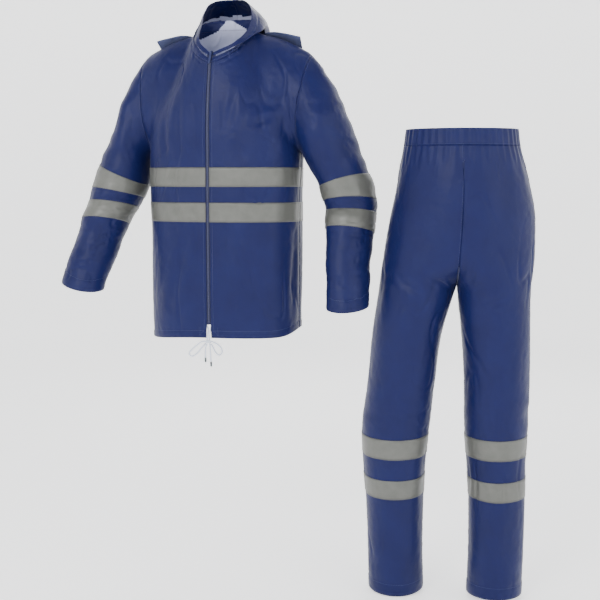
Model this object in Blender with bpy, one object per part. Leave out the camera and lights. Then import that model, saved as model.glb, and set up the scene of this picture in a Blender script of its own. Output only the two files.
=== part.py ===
"""Two-piece rain suit, filled out with no wearer: a hooded jacket with a front zip and trousers with
a gathered elastic waist, both banded with grey reflective tape. Metres, +Z up, fronts facing -Y.

Each piece that is cut and sewn is a closed wall of cloth. Its outer face comes from a short table of
sections. The pieces of one garment share their edge points and edge normals, then draw back from each
seam by half the seam gap. Right and left are the wearer's.
"""

import math

import bpy
import numpy as np
from mathutils import Matrix, Vector

# Cloth and seams
CLOTH = 0.0016
CASING = 0.0030
TAPE = 0.0010
SEAM_GAP = 0.0003
TAPE_LIFT = 0.0004

# Where the two garments stand. The origin is the jacket's neck, where the shoulders carry it.
JACKET_TURN = math.radians(-17)
TROUSERS_TURN = math.radians(-7)
TROUSERS_PLACE = (0.589, -0.12, 0.0)

# Jacket body
UNDERARM = -0.303
HEM = -0.752
SLIT_TOP = -0.722
ZIP_HALF_GAP = 0.0045
SLIT_HALF_GAP = 0.0066
BODY_TAPES = {"upper": (-0.385, -0.337), "lower": (-0.4715, -0.423)}
BOXINESS = 2.5

BODY_SECTIONS = {
    "height": (-0.770, -0.550, -0.400, -0.303),
    "centre_x": (0.0005, 0.000, -0.001, 0.000),
    "half_width": (0.1925, 0.1935, 0.1955, 0.199),
    "front_depth": (0.137, 0.139, 0.140, 0.138),
    "back_depth": (0.126, 0.129, 0.131, 0.132),
}
# Height of the hem round the body. The turn goes from the front (0) to the wearer's left side (90).
HEM_LINE = {
    "turn": (-180, -90, -55, 0, 55, 75, 90, 180),
    "height": (-0.754, -0.765, -0.767, -0.758, -0.7575, -0.750, -0.740, -0.754),
}

# Neckline and shoulder seam of one half, from the middle outwards
FRONT_NECKLINE = {
    "x": (0.0045, 0.046, 0.074, 0.085),
    "y": (-0.118, -0.097, -0.052, 0.000),
    "z": (-0.078, -0.060, -0.020, 0.004),
}
BACK_NECKLINE = {
    "x": (0.000, 0.036, 0.068, 0.085),
    "y": (0.066, 0.061, 0.038, 0.000),
    "z": (0.016, 0.016, 0.012, 0.004),
}
SHOULDER_SEAM = {
    "x": (0.085, 0.155, 0.223),
    "y": (0.000, 0.004, 0.008),
    "z": (0.004, -0.017, -0.0455),
}

# How the cloth leaves the underarm level and how it arrives at the top edge, from the middle (0) to
# the armhole (1)
FRONT_RISE = {
    "across": (0.0, 0.35, 0.70, 1.0),
    "leave_x": (0.000, 0.000, -0.002, -0.010),
    "leave_y": (-0.004, -0.006, -0.016, -0.108),
    "leave_z": (0.085, 0.085, 0.085, 0.035),
    "arrive_x": (0.000, 0.000, 0.000, 0.004),
    "arrive_y": (0.014, 0.050, 0.080, 0.090),
    "arrive_z": (0.075, 0.062, 0.024, 0.046),
}
BACK_RISE = {
    "across": (0.0, 0.35, 0.70, 1.0),
    "leave_x": (0.000, 0.000, -0.002, -0.010),
    "leave_y": (0.010, 0.010, 0.020, 0.112),
    "leave_z": (0.110, 0.105, 0.090, 0.035),
    "arrive_x": (0.000, 0.000, 0.000, 0.004),
    "arrive_y": (-0.062, -0.070, -0.085, -0.096),
    "arrive_z": (0.060, 0.050, 0.026, 0.046),
}

# Sleeve rings. "out" is measured away from the body, and front_rise lifts the ring's front.
LEFT_SLEEVE = {
    "in_x": (0.206, 0.221, 0.239, 0.250, 0.2585, 0.266, 0.2715, 0.284),
    "in_y": (0.000, 0.003, 0.003, 0.002, 0.000, -0.012, -0.030, -0.070),
    "in_z": (-0.309, -0.338, -0.368, -0.400, -0.428, -0.485, -0.535, -0.678),
    "out_x": (0.296, 0.327, 0.354, 0.376, 0.3895, 0.386, 0.381, 0.3875),
    "out_y": (0.006, 0.012, 0.020, 0.024, 0.024, 0.008, -0.012, -0.055),
    "out_z": (-0.157, -0.244, -0.318, -0.372, -0.423, -0.492, -0.550, -0.676),
    "half_depth": (0.088, 0.084, 0.078, 0.073, 0.069, 0.063, 0.060, 0.052),
    "front_rise": (0.000, 0.000, 0.003, 0.006, 0.010, 0.014, 0.012, -0.012),
}
RIGHT_SLEEVE = {
    "in_x": (0.2075, 0.210, 0.2120, 0.217, 0.2235, 0.256, 0.277, 0.3035),
    "in_y": (0.002, -0.004, -0.012, -0.021, -0.030, -0.048, -0.062, -0.105),
    "in_z": (-0.312, -0.340, -0.366, -0.395, -0.414, -0.475, -0.534, -0.650),
    "out_x": (0.277, 0.296, 0.3235, 0.341, 0.3545, 0.374, 0.390, 0.408),
    "out_y": (-0.004, -0.014, -0.028, -0.040, -0.050, -0.062, -0.080, -0.118),
    "out_z": (-0.155, -0.232, -0.298, -0.352, -0.393, -0.469, -0.530, -0.622),
    "half_depth": (0.088, 0.084, 0.078, 0.073, 0.069, 0.063, 0.060, 0.052),
    "front_rise": (0.000, 0.000, 0.003, 0.006, 0.010, 0.014, 0.012, -0.010),
}
# Mid-heights of the sleeve tapes' edges: upper top, upper bottom, lower top, lower bottom
SLEEVE_TAPES = {"left": (-0.369, -0.4175, -0.447, -0.493), "right": (-0.353, -0.400, -0.4295, -0.474)}

# Hood, half of it, from the zip (0) to the middle of the back (1): a short stand at the front that
# becomes a pouch hanging behind the neck
HOOD = {
    "along": (0.00, 0.25, 0.45, 0.60, 0.70, 0.82, 1.00),
    "stand": (0.000, 0.000, 0.004, 0.006, 0.007, 0.008, 0.010),
    "reach": (0.000, 0.004, 0.013, 0.026, 0.050, 0.088, 0.080),
    "drop": (0.000, 0.000, 0.004, 0.014, 0.050, 0.180, 0.240),
    "belly": (0.000, 0.003, 0.008, 0.014, 0.022, 0.034, 0.045),
    "twist": (0.000, 0.012, 0.012, 0.000, -0.012, -0.023, -0.028),
    "rim_x": (0.0045, 0.046, 0.063, 0.066, 0.059, 0.044, 0.000),
    "rim_y": (-0.104, -0.096, -0.045, 0.010, 0.045, 0.082, 0.117),
    "rim_z": (-0.0550, -0.033, 0.003, 0.048, 0.074, 0.093, 0.101),
}
HOOD_PROFILE = {
    "of_twist": (0.0, 0.1, 0.5, 1.0, 1.0, 1.0, 1.0),
    "towards_rim": (0.00, 0.30, 0.42, 0.50, 0.62, 0.85, 1.00),
    "of_stand": (0.0, 1.0, 0.6, 0.0, 0.0, 0.0, 0.0),
    "of_reach": (0.0, 0.00, 0.55, 1.00, 1.00, 0.45, 0.0),
    "of_belly": (0.0, 0.00, 0.00, 0.00, 1.00, 0.65, 0.0),
    "of_drop": (0.0, 0.00, 0.35, 1.00, 0.55, 0.10, 0.0),
}
NECK_MIDDLE = (0.0, -0.07)

# Yoke flap over the upper back: how far it stands off the back, from its free edge up to its top edge
FLAP_ROWS = 5
FLAP_LIFT = (0.0075, 0.0060, 0.0045, 0.0035, 0.0030, 0.0030)
FLAP_TIP_LIFT = 0.023
FLAP_END_SHARE = 0.35

# Trousers. seam_x is the middle seam, and then the inside leg; closing goes from 0, an open half of
# the hips, to 1, a whole leg.
WAIST = -0.245
CASING_FOOT = -0.283
WAIST_GATHERS = 44
GATHER_DEPTH = 0.0026
LEG_TAPES = {"upper": (-1.047, -0.997), "lower": (-1.151, -1.101)}
CROTCH = -0.637
RIGHT_LEG = {
    "height": (-0.245, -0.283, -0.330, -0.382, -0.454, -0.548, -0.600, -0.637, -0.700, -0.755,
               -0.850, -0.903, -0.952, -1.010, -1.090, -1.160, -1.290, -1.408),
    "seam_x": (-0.004, -0.003, -0.002, -0.001, -0.003, -0.008, -0.013, -0.016, -0.035, -0.049,
               -0.061, -0.067, -0.072, -0.079, -0.085, -0.089, -0.091, -0.089),
    "outer_x": (-0.143, -0.1475, -0.156, -0.165, -0.180, -0.197, -0.204, -0.209, -0.218, -0.226,
                -0.234, -0.240, -0.248, -0.250, -0.2455, -0.2405, -0.236, -0.233),
    "closing": (0.0, 0.0, 0.0, 0.0, 0.0, 0.14, 0.48, 1.0, 1.0, 1.0, 1.0, 1.0, 1.0, 1.0, 1.0, 1.0, 1.0, 1.0),
    "middle_y": (0.0, 0.0, 0.0, 0.0, 0.0, 0.0, 0.0, 0.0, -0.002, -0.004,
                 -0.008, -0.010, -0.010, -0.006, 0.004, 0.014, 0.030, 0.042),
    "front_drop": (0.0, 0.0, 0.0, 0.0, 0.0, 0.0, 0.0, 0.0, 0.0, 0.0,
                   0.000, 0.002, 0.005, 0.008, 0.010, 0.010, 0.011, 0.012),
    "front_depth": (0.116, 0.118, 0.124, 0.130, 0.133, 0.131, 0.124, 0.114, 0.105, 0.100,
                    0.094, 0.090, 0.088, 0.086, 0.081, 0.077, 0.073, 0.072),
    "back_depth": (0.116, 0.118, 0.127, 0.136, 0.145, 0.145, 0.137, 0.124, 0.112, 0.106,
                   0.098, 0.094, 0.090, 0.086, 0.081, 0.077, 0.073, 0.072),
}
LEFT_LEG = {
    "height": (-0.245, -0.283, -0.330, -0.382, -0.454, -0.548, -0.600, -0.637, -0.700, -0.755,
               -0.850, -1.000, -1.061, -1.177, -1.290, -1.408),
    "seam_x": (-0.004, -0.003, -0.002, -0.001, -0.003, -0.008, -0.013, -0.016, -0.009, -0.004,
               0.0037, 0.006, 0.013, 0.020, 0.020, 0.017),
    "outer_x": (0.1305, 0.1345, 0.147, 0.162, 0.176, 0.1765, 0.172, 0.1685, 0.169, 0.1697,
                0.1703, 0.1665, 0.1635, 0.1635, 0.1633, 0.161),
    "closing": (0.0, 0.0, 0.0, 0.0, 0.0, 0.14, 0.48, 1.0, 1.0, 1.0, 1.0, 1.0, 1.0, 1.0, 1.0, 1.0),
    "middle_y": (0.0, 0.0, 0.0, 0.0, 0.0, 0.0, 0.0, 0.0, 0.0, 0.0,
                 -0.002, -0.002, 0.000, 0.006, 0.014, 0.020),
    "front_drop": (0.0, 0.0, 0.0, 0.0, 0.0, 0.0, 0.0, 0.0, 0.0, 0.0,
                   0.000, 0.004, 0.006, 0.007, 0.006, 0.003),
    "front_depth": (0.116, 0.118, 0.124, 0.130, 0.133, 0.131, 0.124, 0.114, 0.105, 0.100,
                    0.094, 0.087, 0.082, 0.077, 0.075, 0.074),
    "back_depth": (0.116, 0.118, 0.127, 0.136, 0.145, 0.145, 0.137, 0.124, 0.112, 0.106,
                   0.098, 0.088, 0.082, 0.077, 0.075, 0.074),
}

# Largest folds, each a soft trough (negative depth) or ridge between two points
JACKET_FOLDS = {
    "left_elbow_crease": ((0.262, -0.055, -0.436), (0.384, -0.035, -0.430), 0.014, -0.008),
    "left_elbow_roll": ((0.258, -0.060, -0.462), (0.380, -0.040, -0.462), 0.016, 0.004),
    "left_elbow_side": ((0.330, -0.050, -0.432), (0.395, 0.030, -0.440), 0.016, -0.006),
    "right_elbow_crease": ((-0.232, -0.095, -0.420), (-0.360, -0.090, -0.412), 0.014, -0.007),
    "right_elbow_roll": ((-0.245, -0.105, -0.500), (-0.370, -0.110, -0.485), 0.018, -0.005),
    "left_chest_upper": ((0.110, -0.120, -0.165), (0.165, -0.085, -0.148), 0.016, -0.006),
    "left_chest_lower": ((0.120, -0.118, -0.195), (0.175, -0.080, -0.178), 0.016, -0.006),
    "left_chest_long": ((0.045, -0.140, -0.205), (0.080, -0.130, -0.300), 0.018, -0.005),
    "left_armpit": ((0.160, -0.085, -0.225), (0.190, -0.055, -0.270), 0.018, -0.007),
    "left_upper_sleeve": ((0.250, -0.055, -0.170), (0.300, -0.050, -0.270), 0.022, -0.006),
    "right_shoulder_sleeve": ((-0.225, -0.075, -0.140), (-0.240, -0.080, -0.280), 0.024, -0.007),
    "right_armpit": ((-0.170, -0.080, -0.230), (-0.195, -0.060, -0.290), 0.018, -0.006),
    "back_upper": ((-0.080, 0.140, -0.330), (0.060, 0.140, -0.350), 0.022, -0.005),
    "back_waist": ((-0.140, 0.120, -0.520), (0.020, 0.132, -0.560), 0.024, -0.006),
}
TROUSER_FOLDS = {
    "crotch_right_upper": ((-0.020, -0.115, -0.560), (-0.012, -0.085, -0.625), 0.016, -0.010),
    "crotch_left_upper": ((0.020, -0.118, -0.560), (-0.008, -0.085, -0.625), 0.016, -0.006),
    "thigh_right_first": ((-0.070, -0.105, -0.690), (-0.160, -0.100, -0.780), 0.018, -0.009),
    "thigh_right_second": ((-0.055, -0.095, -0.740), (-0.150, -0.098, -0.850), 0.020, -0.009),
    "thigh_right_third": ((-0.150, -0.110, -0.640), (-0.100, -0.115, -0.668), 0.018, -0.007),
    "knee_right_outer": ((-0.245, -0.030, -0.925), (-0.200, -0.080, -0.960), 0.018, -0.008),
    "knee_right_behind": ((-0.200, 0.075, -0.960), (-0.110, 0.080, -0.985), 0.020, -0.010),
    "knee_left_behind": ((0.040, 0.080, -0.965), (0.130, 0.085, -0.955), 0.020, -0.009),
    "seat_right": ((-0.020, 0.140, -0.580), (-0.120, 0.130, -0.680), 0.022, -0.009),
    "seat_left": ((0.015, 0.140, -0.585), (0.100, 0.128, -0.690), 0.022, -0.009),
}

# Zip, slider and pull tab
ZIP_TAPE_HALF = 0.011
ZIP_EDGE_CLEAR = 0.0012
ZIP_CHAIN_HALF = 0.0029
ZIP_TAPE_THICK = 0.0011
ZIP_CHAIN_SUNK = 0.0005
SLIDER_HEIGHT = -0.0600
SLIDER_SIZE = (0.0080, 0.0036, 0.0110)
SLIDER_CLEAR = 0.0009
BRIDGE_WIDTH = 0.0026
BRIDGE_OUTER = 0.0032
BRIDGE_INNER = 0.0016
TAB_LENGTH = 0.0300
TAB_HALF_WIDTH = 0.0027
TAB_THICK = 0.0010
TAB_PIN = 0.00045

# Drawcord of the hem. Each route is read from a smooth curve through its points, in the jacket's own
# frame, and the two cords are tied in a bow under the zip.
CORD_RADIUS = 0.0021
CORD_STEP = 0.0070
KNOT_MIDDLE = (0.0005, -0.1420, -0.7665)
KNOT_SIZE = (0.0170, 0.0105, 0.0100)
CORD_ROUTES = {
    "cord_lead_right": ((-0.0090, -0.1315, -0.7262), (-0.0045, -0.1322, -0.7320), (-0.0025, -0.1352, -0.7400),
                        (-0.0025, -0.1395, -0.7490), (-0.0028, -0.1418, -0.7622)),
    "cord_lead_left": ((0.0090, -0.1315, -0.7262), (0.0045, -0.1322, -0.7320), (0.0026, -0.1352, -0.7400),
                       (0.0028, -0.1395, -0.7490), (0.0036, -0.1418, -0.7622)),
    "cord_loop_right": ((-0.0085, -0.1430, -0.7655), (-0.0180, -0.1450, -0.7680), (-0.0330, -0.1450, -0.7795),
                        (-0.0465, -0.1440, -0.7915), (-0.0500, -0.1430, -0.8000), (-0.0430, -0.1420, -0.8045),
                        (-0.0345, -0.1410, -0.8005), (-0.0250, -0.1405, -0.7915), (-0.0160, -0.1405, -0.7800),
                        (-0.0071, -0.1408, -0.7716)),
    "cord_loop_left": ((0.0095, -0.1430, -0.7655), (0.0190, -0.1450, -0.7680), (0.0300, -0.1450, -0.7745),
                       (0.0370, -0.1440, -0.7840), (0.0365, -0.1430, -0.7935), (0.0290, -0.1420, -0.7985),
                       (0.0205, -0.1410, -0.7940), (0.0145, -0.1405, -0.7850), (0.0081, -0.1408, -0.7716)),
    "cord_tail_right": ((-0.0025, -0.1425, -0.7714), (-0.0058, -0.1440, -0.7800), (-0.0070, -0.1440, -0.7930),
                        (-0.0068, -0.1435, -0.8060)),
    "cord_tail_left": ((0.0040, -0.1425, -0.7709), (0.0062, -0.1440, -0.7800), (0.0068, -0.1440, -0.7950),
                       (0.0078, -0.1435, -0.8160)),
}
TIP_LENGTH = 0.0120
TIP_RADIUS = 0.0027


def curve_through(places, values, at):
    """Values of a smooth curve through the given ones, with no overshoot between them."""
    places = np.asarray(places, float)
    values = np.asarray(values, float)
    if places[0] > places[-1]:
        places, values = places[::-1], values[::-1]
    flat = values.reshape(len(places), -1)
    step = np.diff(places)[:, None]
    slope = np.diff(flat, axis=0) / step
    tangent = np.empty_like(flat)
    tangent[0], tangent[-1] = slope[0], slope[-1]
    before, after = slope[:-1], slope[1:]
    same_way = before * after > 0
    total = np.where(same_way, before + after, 1.0)
    tangent[1:-1] = np.where(same_way, 2 * before * after / total, 0.0)
    at = np.atleast_1d(np.asarray(at, float))
    index = np.clip(np.searchsorted(places, at) - 1, 0, len(places) - 2)
    width = step[index]
    t = ((at - places[index])[:, None] / width).clip(0, 1)
    start, end = flat[index], flat[index + 1]
    go, arrive = tangent[index] * width, tangent[index + 1] * width
    result = start + t * go + t**2 * (3 * (end - start) - 2 * go - arrive) + t**3 * (2 * (start - end) + go + arrive)
    return result.reshape(len(at), *values.shape[1:])


def column(table, name, at, key="height"):
    """One named column of a table of sections, read between its rows."""
    return curve_through(table[key], table[name], at)


def line_through(table, count):
    """Evenly spread points on the smooth line whose x, y and z a table gives."""
    points = np.column_stack([table["x"], table["y"], table["z"]])
    reach = np.concatenate([[0], np.cumsum(np.linalg.norm(np.diff(points, axis=0), axis=1))])
    return curve_through(reach, points, np.linspace(0, reach[-1], count + 1))


def rounded(value):
    """Sine or cosine pushed outwards, so that a section is boxier than an ellipse."""
    return np.sign(value) * np.abs(value) ** (2 / BOXINESS)


class Panel:
    """One piece of cloth: points on its outer face, and triangles that face outwards."""

    def __init__(self, name, points, triangles, wall=CLOTH):
        self.name = name
        self.points = np.asarray(points, float)
        self.triangles = np.asarray(triangles, int)
        self.wall = wall
        self.normals = None

    def face_normals(self):
        a, b, c = (self.points[self.triangles[:, i]] for i in range(3))
        return np.cross(b - a, c - a)


def rows_to_panel(name, rows, closed=False, flip=False, wall=CLOTH):
    """A panel from rows of points, which may hold different numbers of points."""
    starts = np.concatenate([[0], np.cumsum([len(row) for row in rows])])
    triangles = []
    for i in range(len(rows) - 1):
        low, high = len(rows[i]), len(rows[i + 1])
        last_low, last_high = (low, high) if closed else (low - 1, high - 1)
        a = b = 0
        while a < last_low or b < last_high:
            here, above = starts[i] + a % low, starts[i + 1] + b % high
            if b >= last_high or (a < last_low and (a + 1) / last_low <= (b + 1) / last_high):
                triangles.append((here, starts[i] + (a + 1) % low, above))
                a += 1
            else:
                triangles.append((here, starts[i + 1] + (b + 1) % high, above))
                b += 1
    triangles = np.array(triangles)
    return Panel(name, np.concatenate(rows), triangles[:, ::-1] if flip else triangles, wall)


def weld_normals(panels):
    """Gives each point one normal, shared with the same point of the neighbouring panels."""
    keys = np.concatenate([np.round(panel.points, 6) for panel in panels]) + 0.0
    _, index = np.unique(keys, axis=0, return_inverse=True)
    index = index.reshape(-1)
    total = np.zeros((index.max() + 1, 3))
    start = 0
    for panel in panels:
        own = index[start : start + len(panel.points)]
        for corner in range(3):
            np.add.at(total, own[panel.triangles[:, corner]], panel.face_normals())
        start += len(panel.points)
    total /= np.linalg.norm(total, axis=1, keepdims=True)
    start = 0
    for panel in panels:
        panel.normals = total[index[start : start + len(panel.points)]]
        start += len(panel.points)


def fold_height(points, folds):
    """How far the folds push each point out (positive) or in."""
    height = np.zeros(len(points))
    for start, end, width, depth in folds.values():
        start, along = np.array(start), np.subtract(end, start)
        share = ((points - start) @ along / (along @ along)).clip(0, 1)
        away = np.linalg.norm(points - start - share[:, None] * along, axis=1)
        height += depth * np.exp(-((away / width) ** 2))
    return height


def sew(panels, folds):
    """Folds the panels and gives them the normals that they share."""
    weld_normals(panels)
    for panel in panels:
        panel.points = panel.points + panel.normals * fold_height(panel.points, folds)[:, None]
    weld_normals(panels)


def boundary_edges(triangles):
    edges = np.concatenate([triangles[:, [0, 1]], triangles[:, [1, 2]], triangles[:, [2, 0]]])
    present = set(map(tuple, edges))
    return [(a, b) for a, b in present if (b, a) not in present]


def drawn_back(panel):
    """The panel's points, with those on its edges drawn back by half the seam gap."""
    inward = np.zeros_like(panel.points)
    for a, b in sorted(boundary_edges(panel.triangles)):
        side = np.cross(panel.normals[a] + panel.normals[b], panel.points[b] - panel.points[a])
        side /= np.linalg.norm(side)
        for end in (a, b):
            # Two edges that meet in a corner each move it by their own share.
            inward[end] += side
    length = np.linalg.norm(inward, axis=1, keepdims=True)
    spread = np.where(length > 0, 2 / np.maximum(length, 1e-9), 0)
    return panel.points + inward / np.maximum(length, 1e-9) * (SEAM_GAP / 2) * spread.clip(0, 1.6)


def wall_object(panel, place, material, lift=0.0, middle=None):
    """A closed wall of cloth: the outer face, the inner one, and a strip round the edges."""
    points = drawn_back(panel)
    outer = points + panel.normals * (lift + (panel.wall if lift else 0))
    inner = outer - panel.normals * panel.wall
    count = len(points)
    faces = [tuple(triangle) for triangle in panel.triangles]
    faces += [tuple(triangle[::-1] + count) for triangle in panel.triangles]
    # Both sides of a seam split their twisted edge strips the same way, so that they don't cross.
    order = points @ [0.37, 0.71, 1.0]
    for a, b in sorted(boundary_edges(panel.triangles)):
        if order[a] < order[b]:
            faces += [(b, a, a + count), (b, a + count, b + count)]
        else:
            faces += [(b, a, b + count), (a, a + count, b + count)]
    return mesh_object(panel.name, np.concatenate([outer, inner]), faces, place, material)


def mesh_object(name, points, faces, place, material, smooth=True):
    mesh = bpy.data.meshes.new(name)
    mesh.from_pydata([tuple(place @ Vector(point)) for point in points], [], faces)
    mesh.update()
    if smooth:
        mesh.shade_smooth()
        mesh.set_sharp_from_angle(angle=math.radians(40))
    obj = bpy.data.objects.new(name, mesh)
    obj.data.materials.append(material)
    bpy.context.scene.collection.objects.link(obj)
    return obj


def cloth_material(name, colour, roughness):
    material = bpy.data.materials.new(name)
    material.use_nodes = True
    shader = material.node_tree.nodes["Principled BSDF"]
    shader.inputs["Base Color"].default_value = (*colour, 1)
    shader.inputs["Roughness"].default_value = roughness
    material.diffuse_color = (*colour, 1)
    return material


# Jacket

NECK_STEPS = 5
SHOULDER_STEPS = 5
ARMHOLE_STEPS = 8
LOWER_STEPS = 5


def body_heights():
    """Row heights from the slit's top up to the underarm, with a row at each edge of a tape."""
    lower, upper = BODY_TAPES["lower"], BODY_TAPES["upper"]
    return [*np.linspace(SLIT_TOP, lower[0], LOWER_STEPS + 1), lower[1], *upper, UNDERARM]


def body_row(height, angles, hem=False):
    """A level row round the body. The angles run from the front to the wearer's left and on."""
    width = column(BODY_SECTIONS, "half_width", height)
    front = column(BODY_SECTIONS, "front_depth", height)
    back = column(BODY_SECTIONS, "back_depth", height)
    across, ahead = rounded(np.sin(angles)), rounded(np.cos(angles))
    x = column(BODY_SECTIONS, "centre_x", height) * np.abs(across) + width * across
    y = -np.where(ahead > 0, front, back) * ahead
    z = np.full(len(angles), float(height))
    if hem:
        z = column(HEM_LINE, "height", np.degrees(angles), "turn")
    return np.column_stack([x, y, z])


def front_start(height):
    """The angle at which a front's edge stands beside the zip."""
    half_gap = SLIT_HALF_GAP if height < SLIT_TOP - 0.001 else ZIP_HALF_GAP
    width = float(column(BODY_SECTIONS, "half_width", height)[0])
    return math.asin((half_gap / width) ** (BOXINESS / 2))


def rise(bottom, top, table):
    """Rows that carry the cloth from the underarm level to the neckline and shoulder."""
    across = np.linspace(0, 1, len(bottom))
    leave = np.column_stack([column(table, f"leave_{axis}", across, "across") for axis in "xyz"])
    arrive = np.column_stack([column(table, f"arrive_{axis}", across, "across") for axis in "xyz"])
    rows = []
    for t in np.linspace(0, 1, ARMHOLE_STEPS + 1)[1:]:
        rows.append(
            (1 - t) ** 3 * bottom
            + 3 * (1 - t) ** 2 * t * (bottom + leave)
            + 3 * (1 - t) * t**2 * (top - arrive)
            + t**3 * top
        )
    return rows


def top_edge(neckline):
    """Neckline and shoulder seam of one half, from the middle out to the shoulder's end."""
    return np.concatenate([line_through(neckline, NECK_STEPS), line_through(SHOULDER_SEAM, SHOULDER_STEPS)[1:]])


def half_rows(side, neckline, table, back):
    """Rows of half the body, from the hem to the shoulder and from the middle to the side seam."""
    steps = NECK_STEPS + SHOULDER_STEPS
    rows = []
    for height in [HEM, *body_heights()]:
        start = 0 if back else front_start(height)
        angles = np.linspace(start, math.pi / 2, steps + 1)
        angles = side * (math.pi - angles if back else angles)
        rows.append(body_row(height, angles, hem=height == HEM))
    mirror = np.array([side, 1, 1])
    rows += [row * mirror for row in rise(rows[-1] * mirror, top_edge(neckline), table)]
    return rows


def body_panels():
    front = {side: half_rows(side, FRONT_NECKLINE, FRONT_RISE, back=False) for side in (1, -1)}
    back = {side: half_rows(side, BACK_NECKLINE, BACK_RISE, back=True) for side in (1, -1)}
    whole_back = [np.concatenate([left[::-1], right[1:]]) for left, right in zip(back[1], back[-1])]
    side_seam = len(whole_back) - ARMHOLE_STEPS
    for i in [*range(side_seam), -1]:
        whole_back[i][0], whole_back[i][-1] = front[1][i][-1], front[-1][i][-1]
    return front[1], [row[::-1] for row in front[-1]], whole_back


def sleeve_rows(side, rings, tapes, front_rows, back_rows):
    """Rows of a sleeve from its armhole to its cuff, each going inside, front, outside, back."""
    first = len(front_rows) - 1 - ARMHOLE_STEPS
    edge = -1 if side > 0 else 0
    front_edge = [row[edge] for row in front_rows[first:]]
    back_edge = [row[0 if side > 0 else -1] for row in back_rows[first:]]
    armhole = np.array(front_edge + back_edge[-2:0:-1])
    turn = np.linspace(0, 2 * math.pi, len(armhole), endpoint=False)[:, None]
    keys, heights = [armhole], [(armhole[0, 2] + armhole[ARMHOLE_STEPS, 2]) / 2]
    for i in range(len(rings["in_x"])):
        inside, outside = (np.array([rings[f"{end}_{axis}"][i] for axis in "xyz"]) for end in ("in", "out"))
        middle = (inside + outside) / 2
        ahead = np.array([0, -rings["half_depth"][i], rings["front_rise"][i]])
        ring = middle + (inside - middle) * np.cos(turn) + ahead * np.sin(turn)
        keys.append(ring * [side, 1, 1])
        heights.append(middle[2])
    at = np.concatenate([
        np.linspace(heights[0], tapes[0], 7)[:-1],
        np.linspace(tapes[0], tapes[1], 3)[:-1],
        np.linspace(tapes[1], tapes[2], 3)[:-1],
        np.linspace(tapes[2], tapes[3], 3)[:-1],
        np.linspace(tapes[3], heights[-1], 6),
    ])
    return list(curve_through(heights, np.array(keys), at))


def hood_rows(front_rows, back_rows, side):
    """Rows of half the hood, from the neckline to the face edge and from the zip to the back."""
    front_neck = front_rows[-1][: NECK_STEPS + 1] if side > 0 else front_rows[-1][::-1][: NECK_STEPS + 1]
    middle = NECK_STEPS + SHOULDER_STEPS
    back_neck = back_rows[-1][middle - NECK_STEPS : middle + 1]
    if side < 0:
        back_neck = back_rows[-1][middle : middle + NECK_STEPS + 1][::-1]
    neck = np.concatenate([front_neck, back_neck[1:]])
    along = np.linspace(0, 1, len(neck))
    size = {name: column(HOOD, name, along, "along")[:, None] for name in HOOD if name != "along"}
    rim = np.column_stack([size["rim_x"] * side, size["rim_y"], size["rim_z"]])
    outwards = neck - [*NECK_MIDDLE, 0]
    outwards[:, 2] = 0
    outwards /= np.linalg.norm(outwards, axis=1, keepdims=True)
    keys = []
    for i in range(len(HOOD_PROFILE["towards_rim"])):
        share = {name: HOOD_PROFILE[name][i] for name in HOOD_PROFILE}
        away = share["of_reach"] * size["reach"] + share["of_belly"] * size["belly"]
        up = share["of_stand"] * size["stand"] - share["of_drop"] * size["drop"]
        point = neck + (rim - neck) * share["towards_rim"] + outwards * away + np.array([0, 0, 1]) * up
        keys.append(point + np.array([1, 0, 0]) * share["of_twist"] * size["twist"])
    places = np.linspace(0, 1, len(keys))
    rows = curve_through(places, np.array(keys), np.linspace(0, 1, 11))
    rows[0] = neck
    return list(rows)


def flap_panel(back, panel):
    """The yoke flap: the back's own upper points, moved out, most of all at the shoulders' ends."""
    width = len(back[-1])
    rows = []
    middle = (width - 1) / 2
    for i in range(FLAP_ROWS + 1):
        at = len(back) - 1 - FLAP_ROWS + i
        own = slice(at * width, (at + 1) * width)
        points, normals = panel.points[own].copy(), panel.normals[own]
        if i == FLAP_ROWS:
            below = panel.points[(at - 1) * width : at * width]
            neck = np.abs(np.arange(width) - middle) <= NECK_STEPS
            points[neck] = below[neck] + 0.45 * (points[neck] - below[neck])
        outwards = ((np.abs(np.arange(width) - middle) - NECK_STEPS) / SHOULDER_STEPS).clip(0, 1)
        tip = FLAP_TIP_LIFT * outwards**1.2 * (i / FLAP_ROWS) ** 3
        rows.append(points + normals * (FLAP_LIFT[i] + tip)[:, None])
    for row in rows:
        row[1] += FLAP_END_SHARE * (row[2] - row[1])
        row[-2] += FLAP_END_SHARE * (row[-3] - row[-2])
    flap = rows_to_panel("yoke_flap", [row[1:-1] for row in rows])
    weld_normals([flap])
    return flap


def tape_from(name, panel, rows, widths, first, last, cut=slice(None)):
    """Reflective tape on a panel, made from the panel's rows first to last."""
    starts = np.concatenate([[0], np.cumsum(widths)])
    closed = rows == "ring"
    parts = [np.arange(starts[i], starts[i + 1])[cut] for i in range(first, last + 1)]
    tape = rows_to_panel(name, [panel.points[part] for part in parts], closed=closed, wall=TAPE)
    tape.normals = np.concatenate([panel.normals[part] for part in parts])
    if (np.sum(tape.face_normals() * tape.normals[tape.triangles[:, 0]], axis=1) < 0).mean() > 0.5:
        tape.triangles = tape.triangles[:, ::-1]
    return tape


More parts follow.
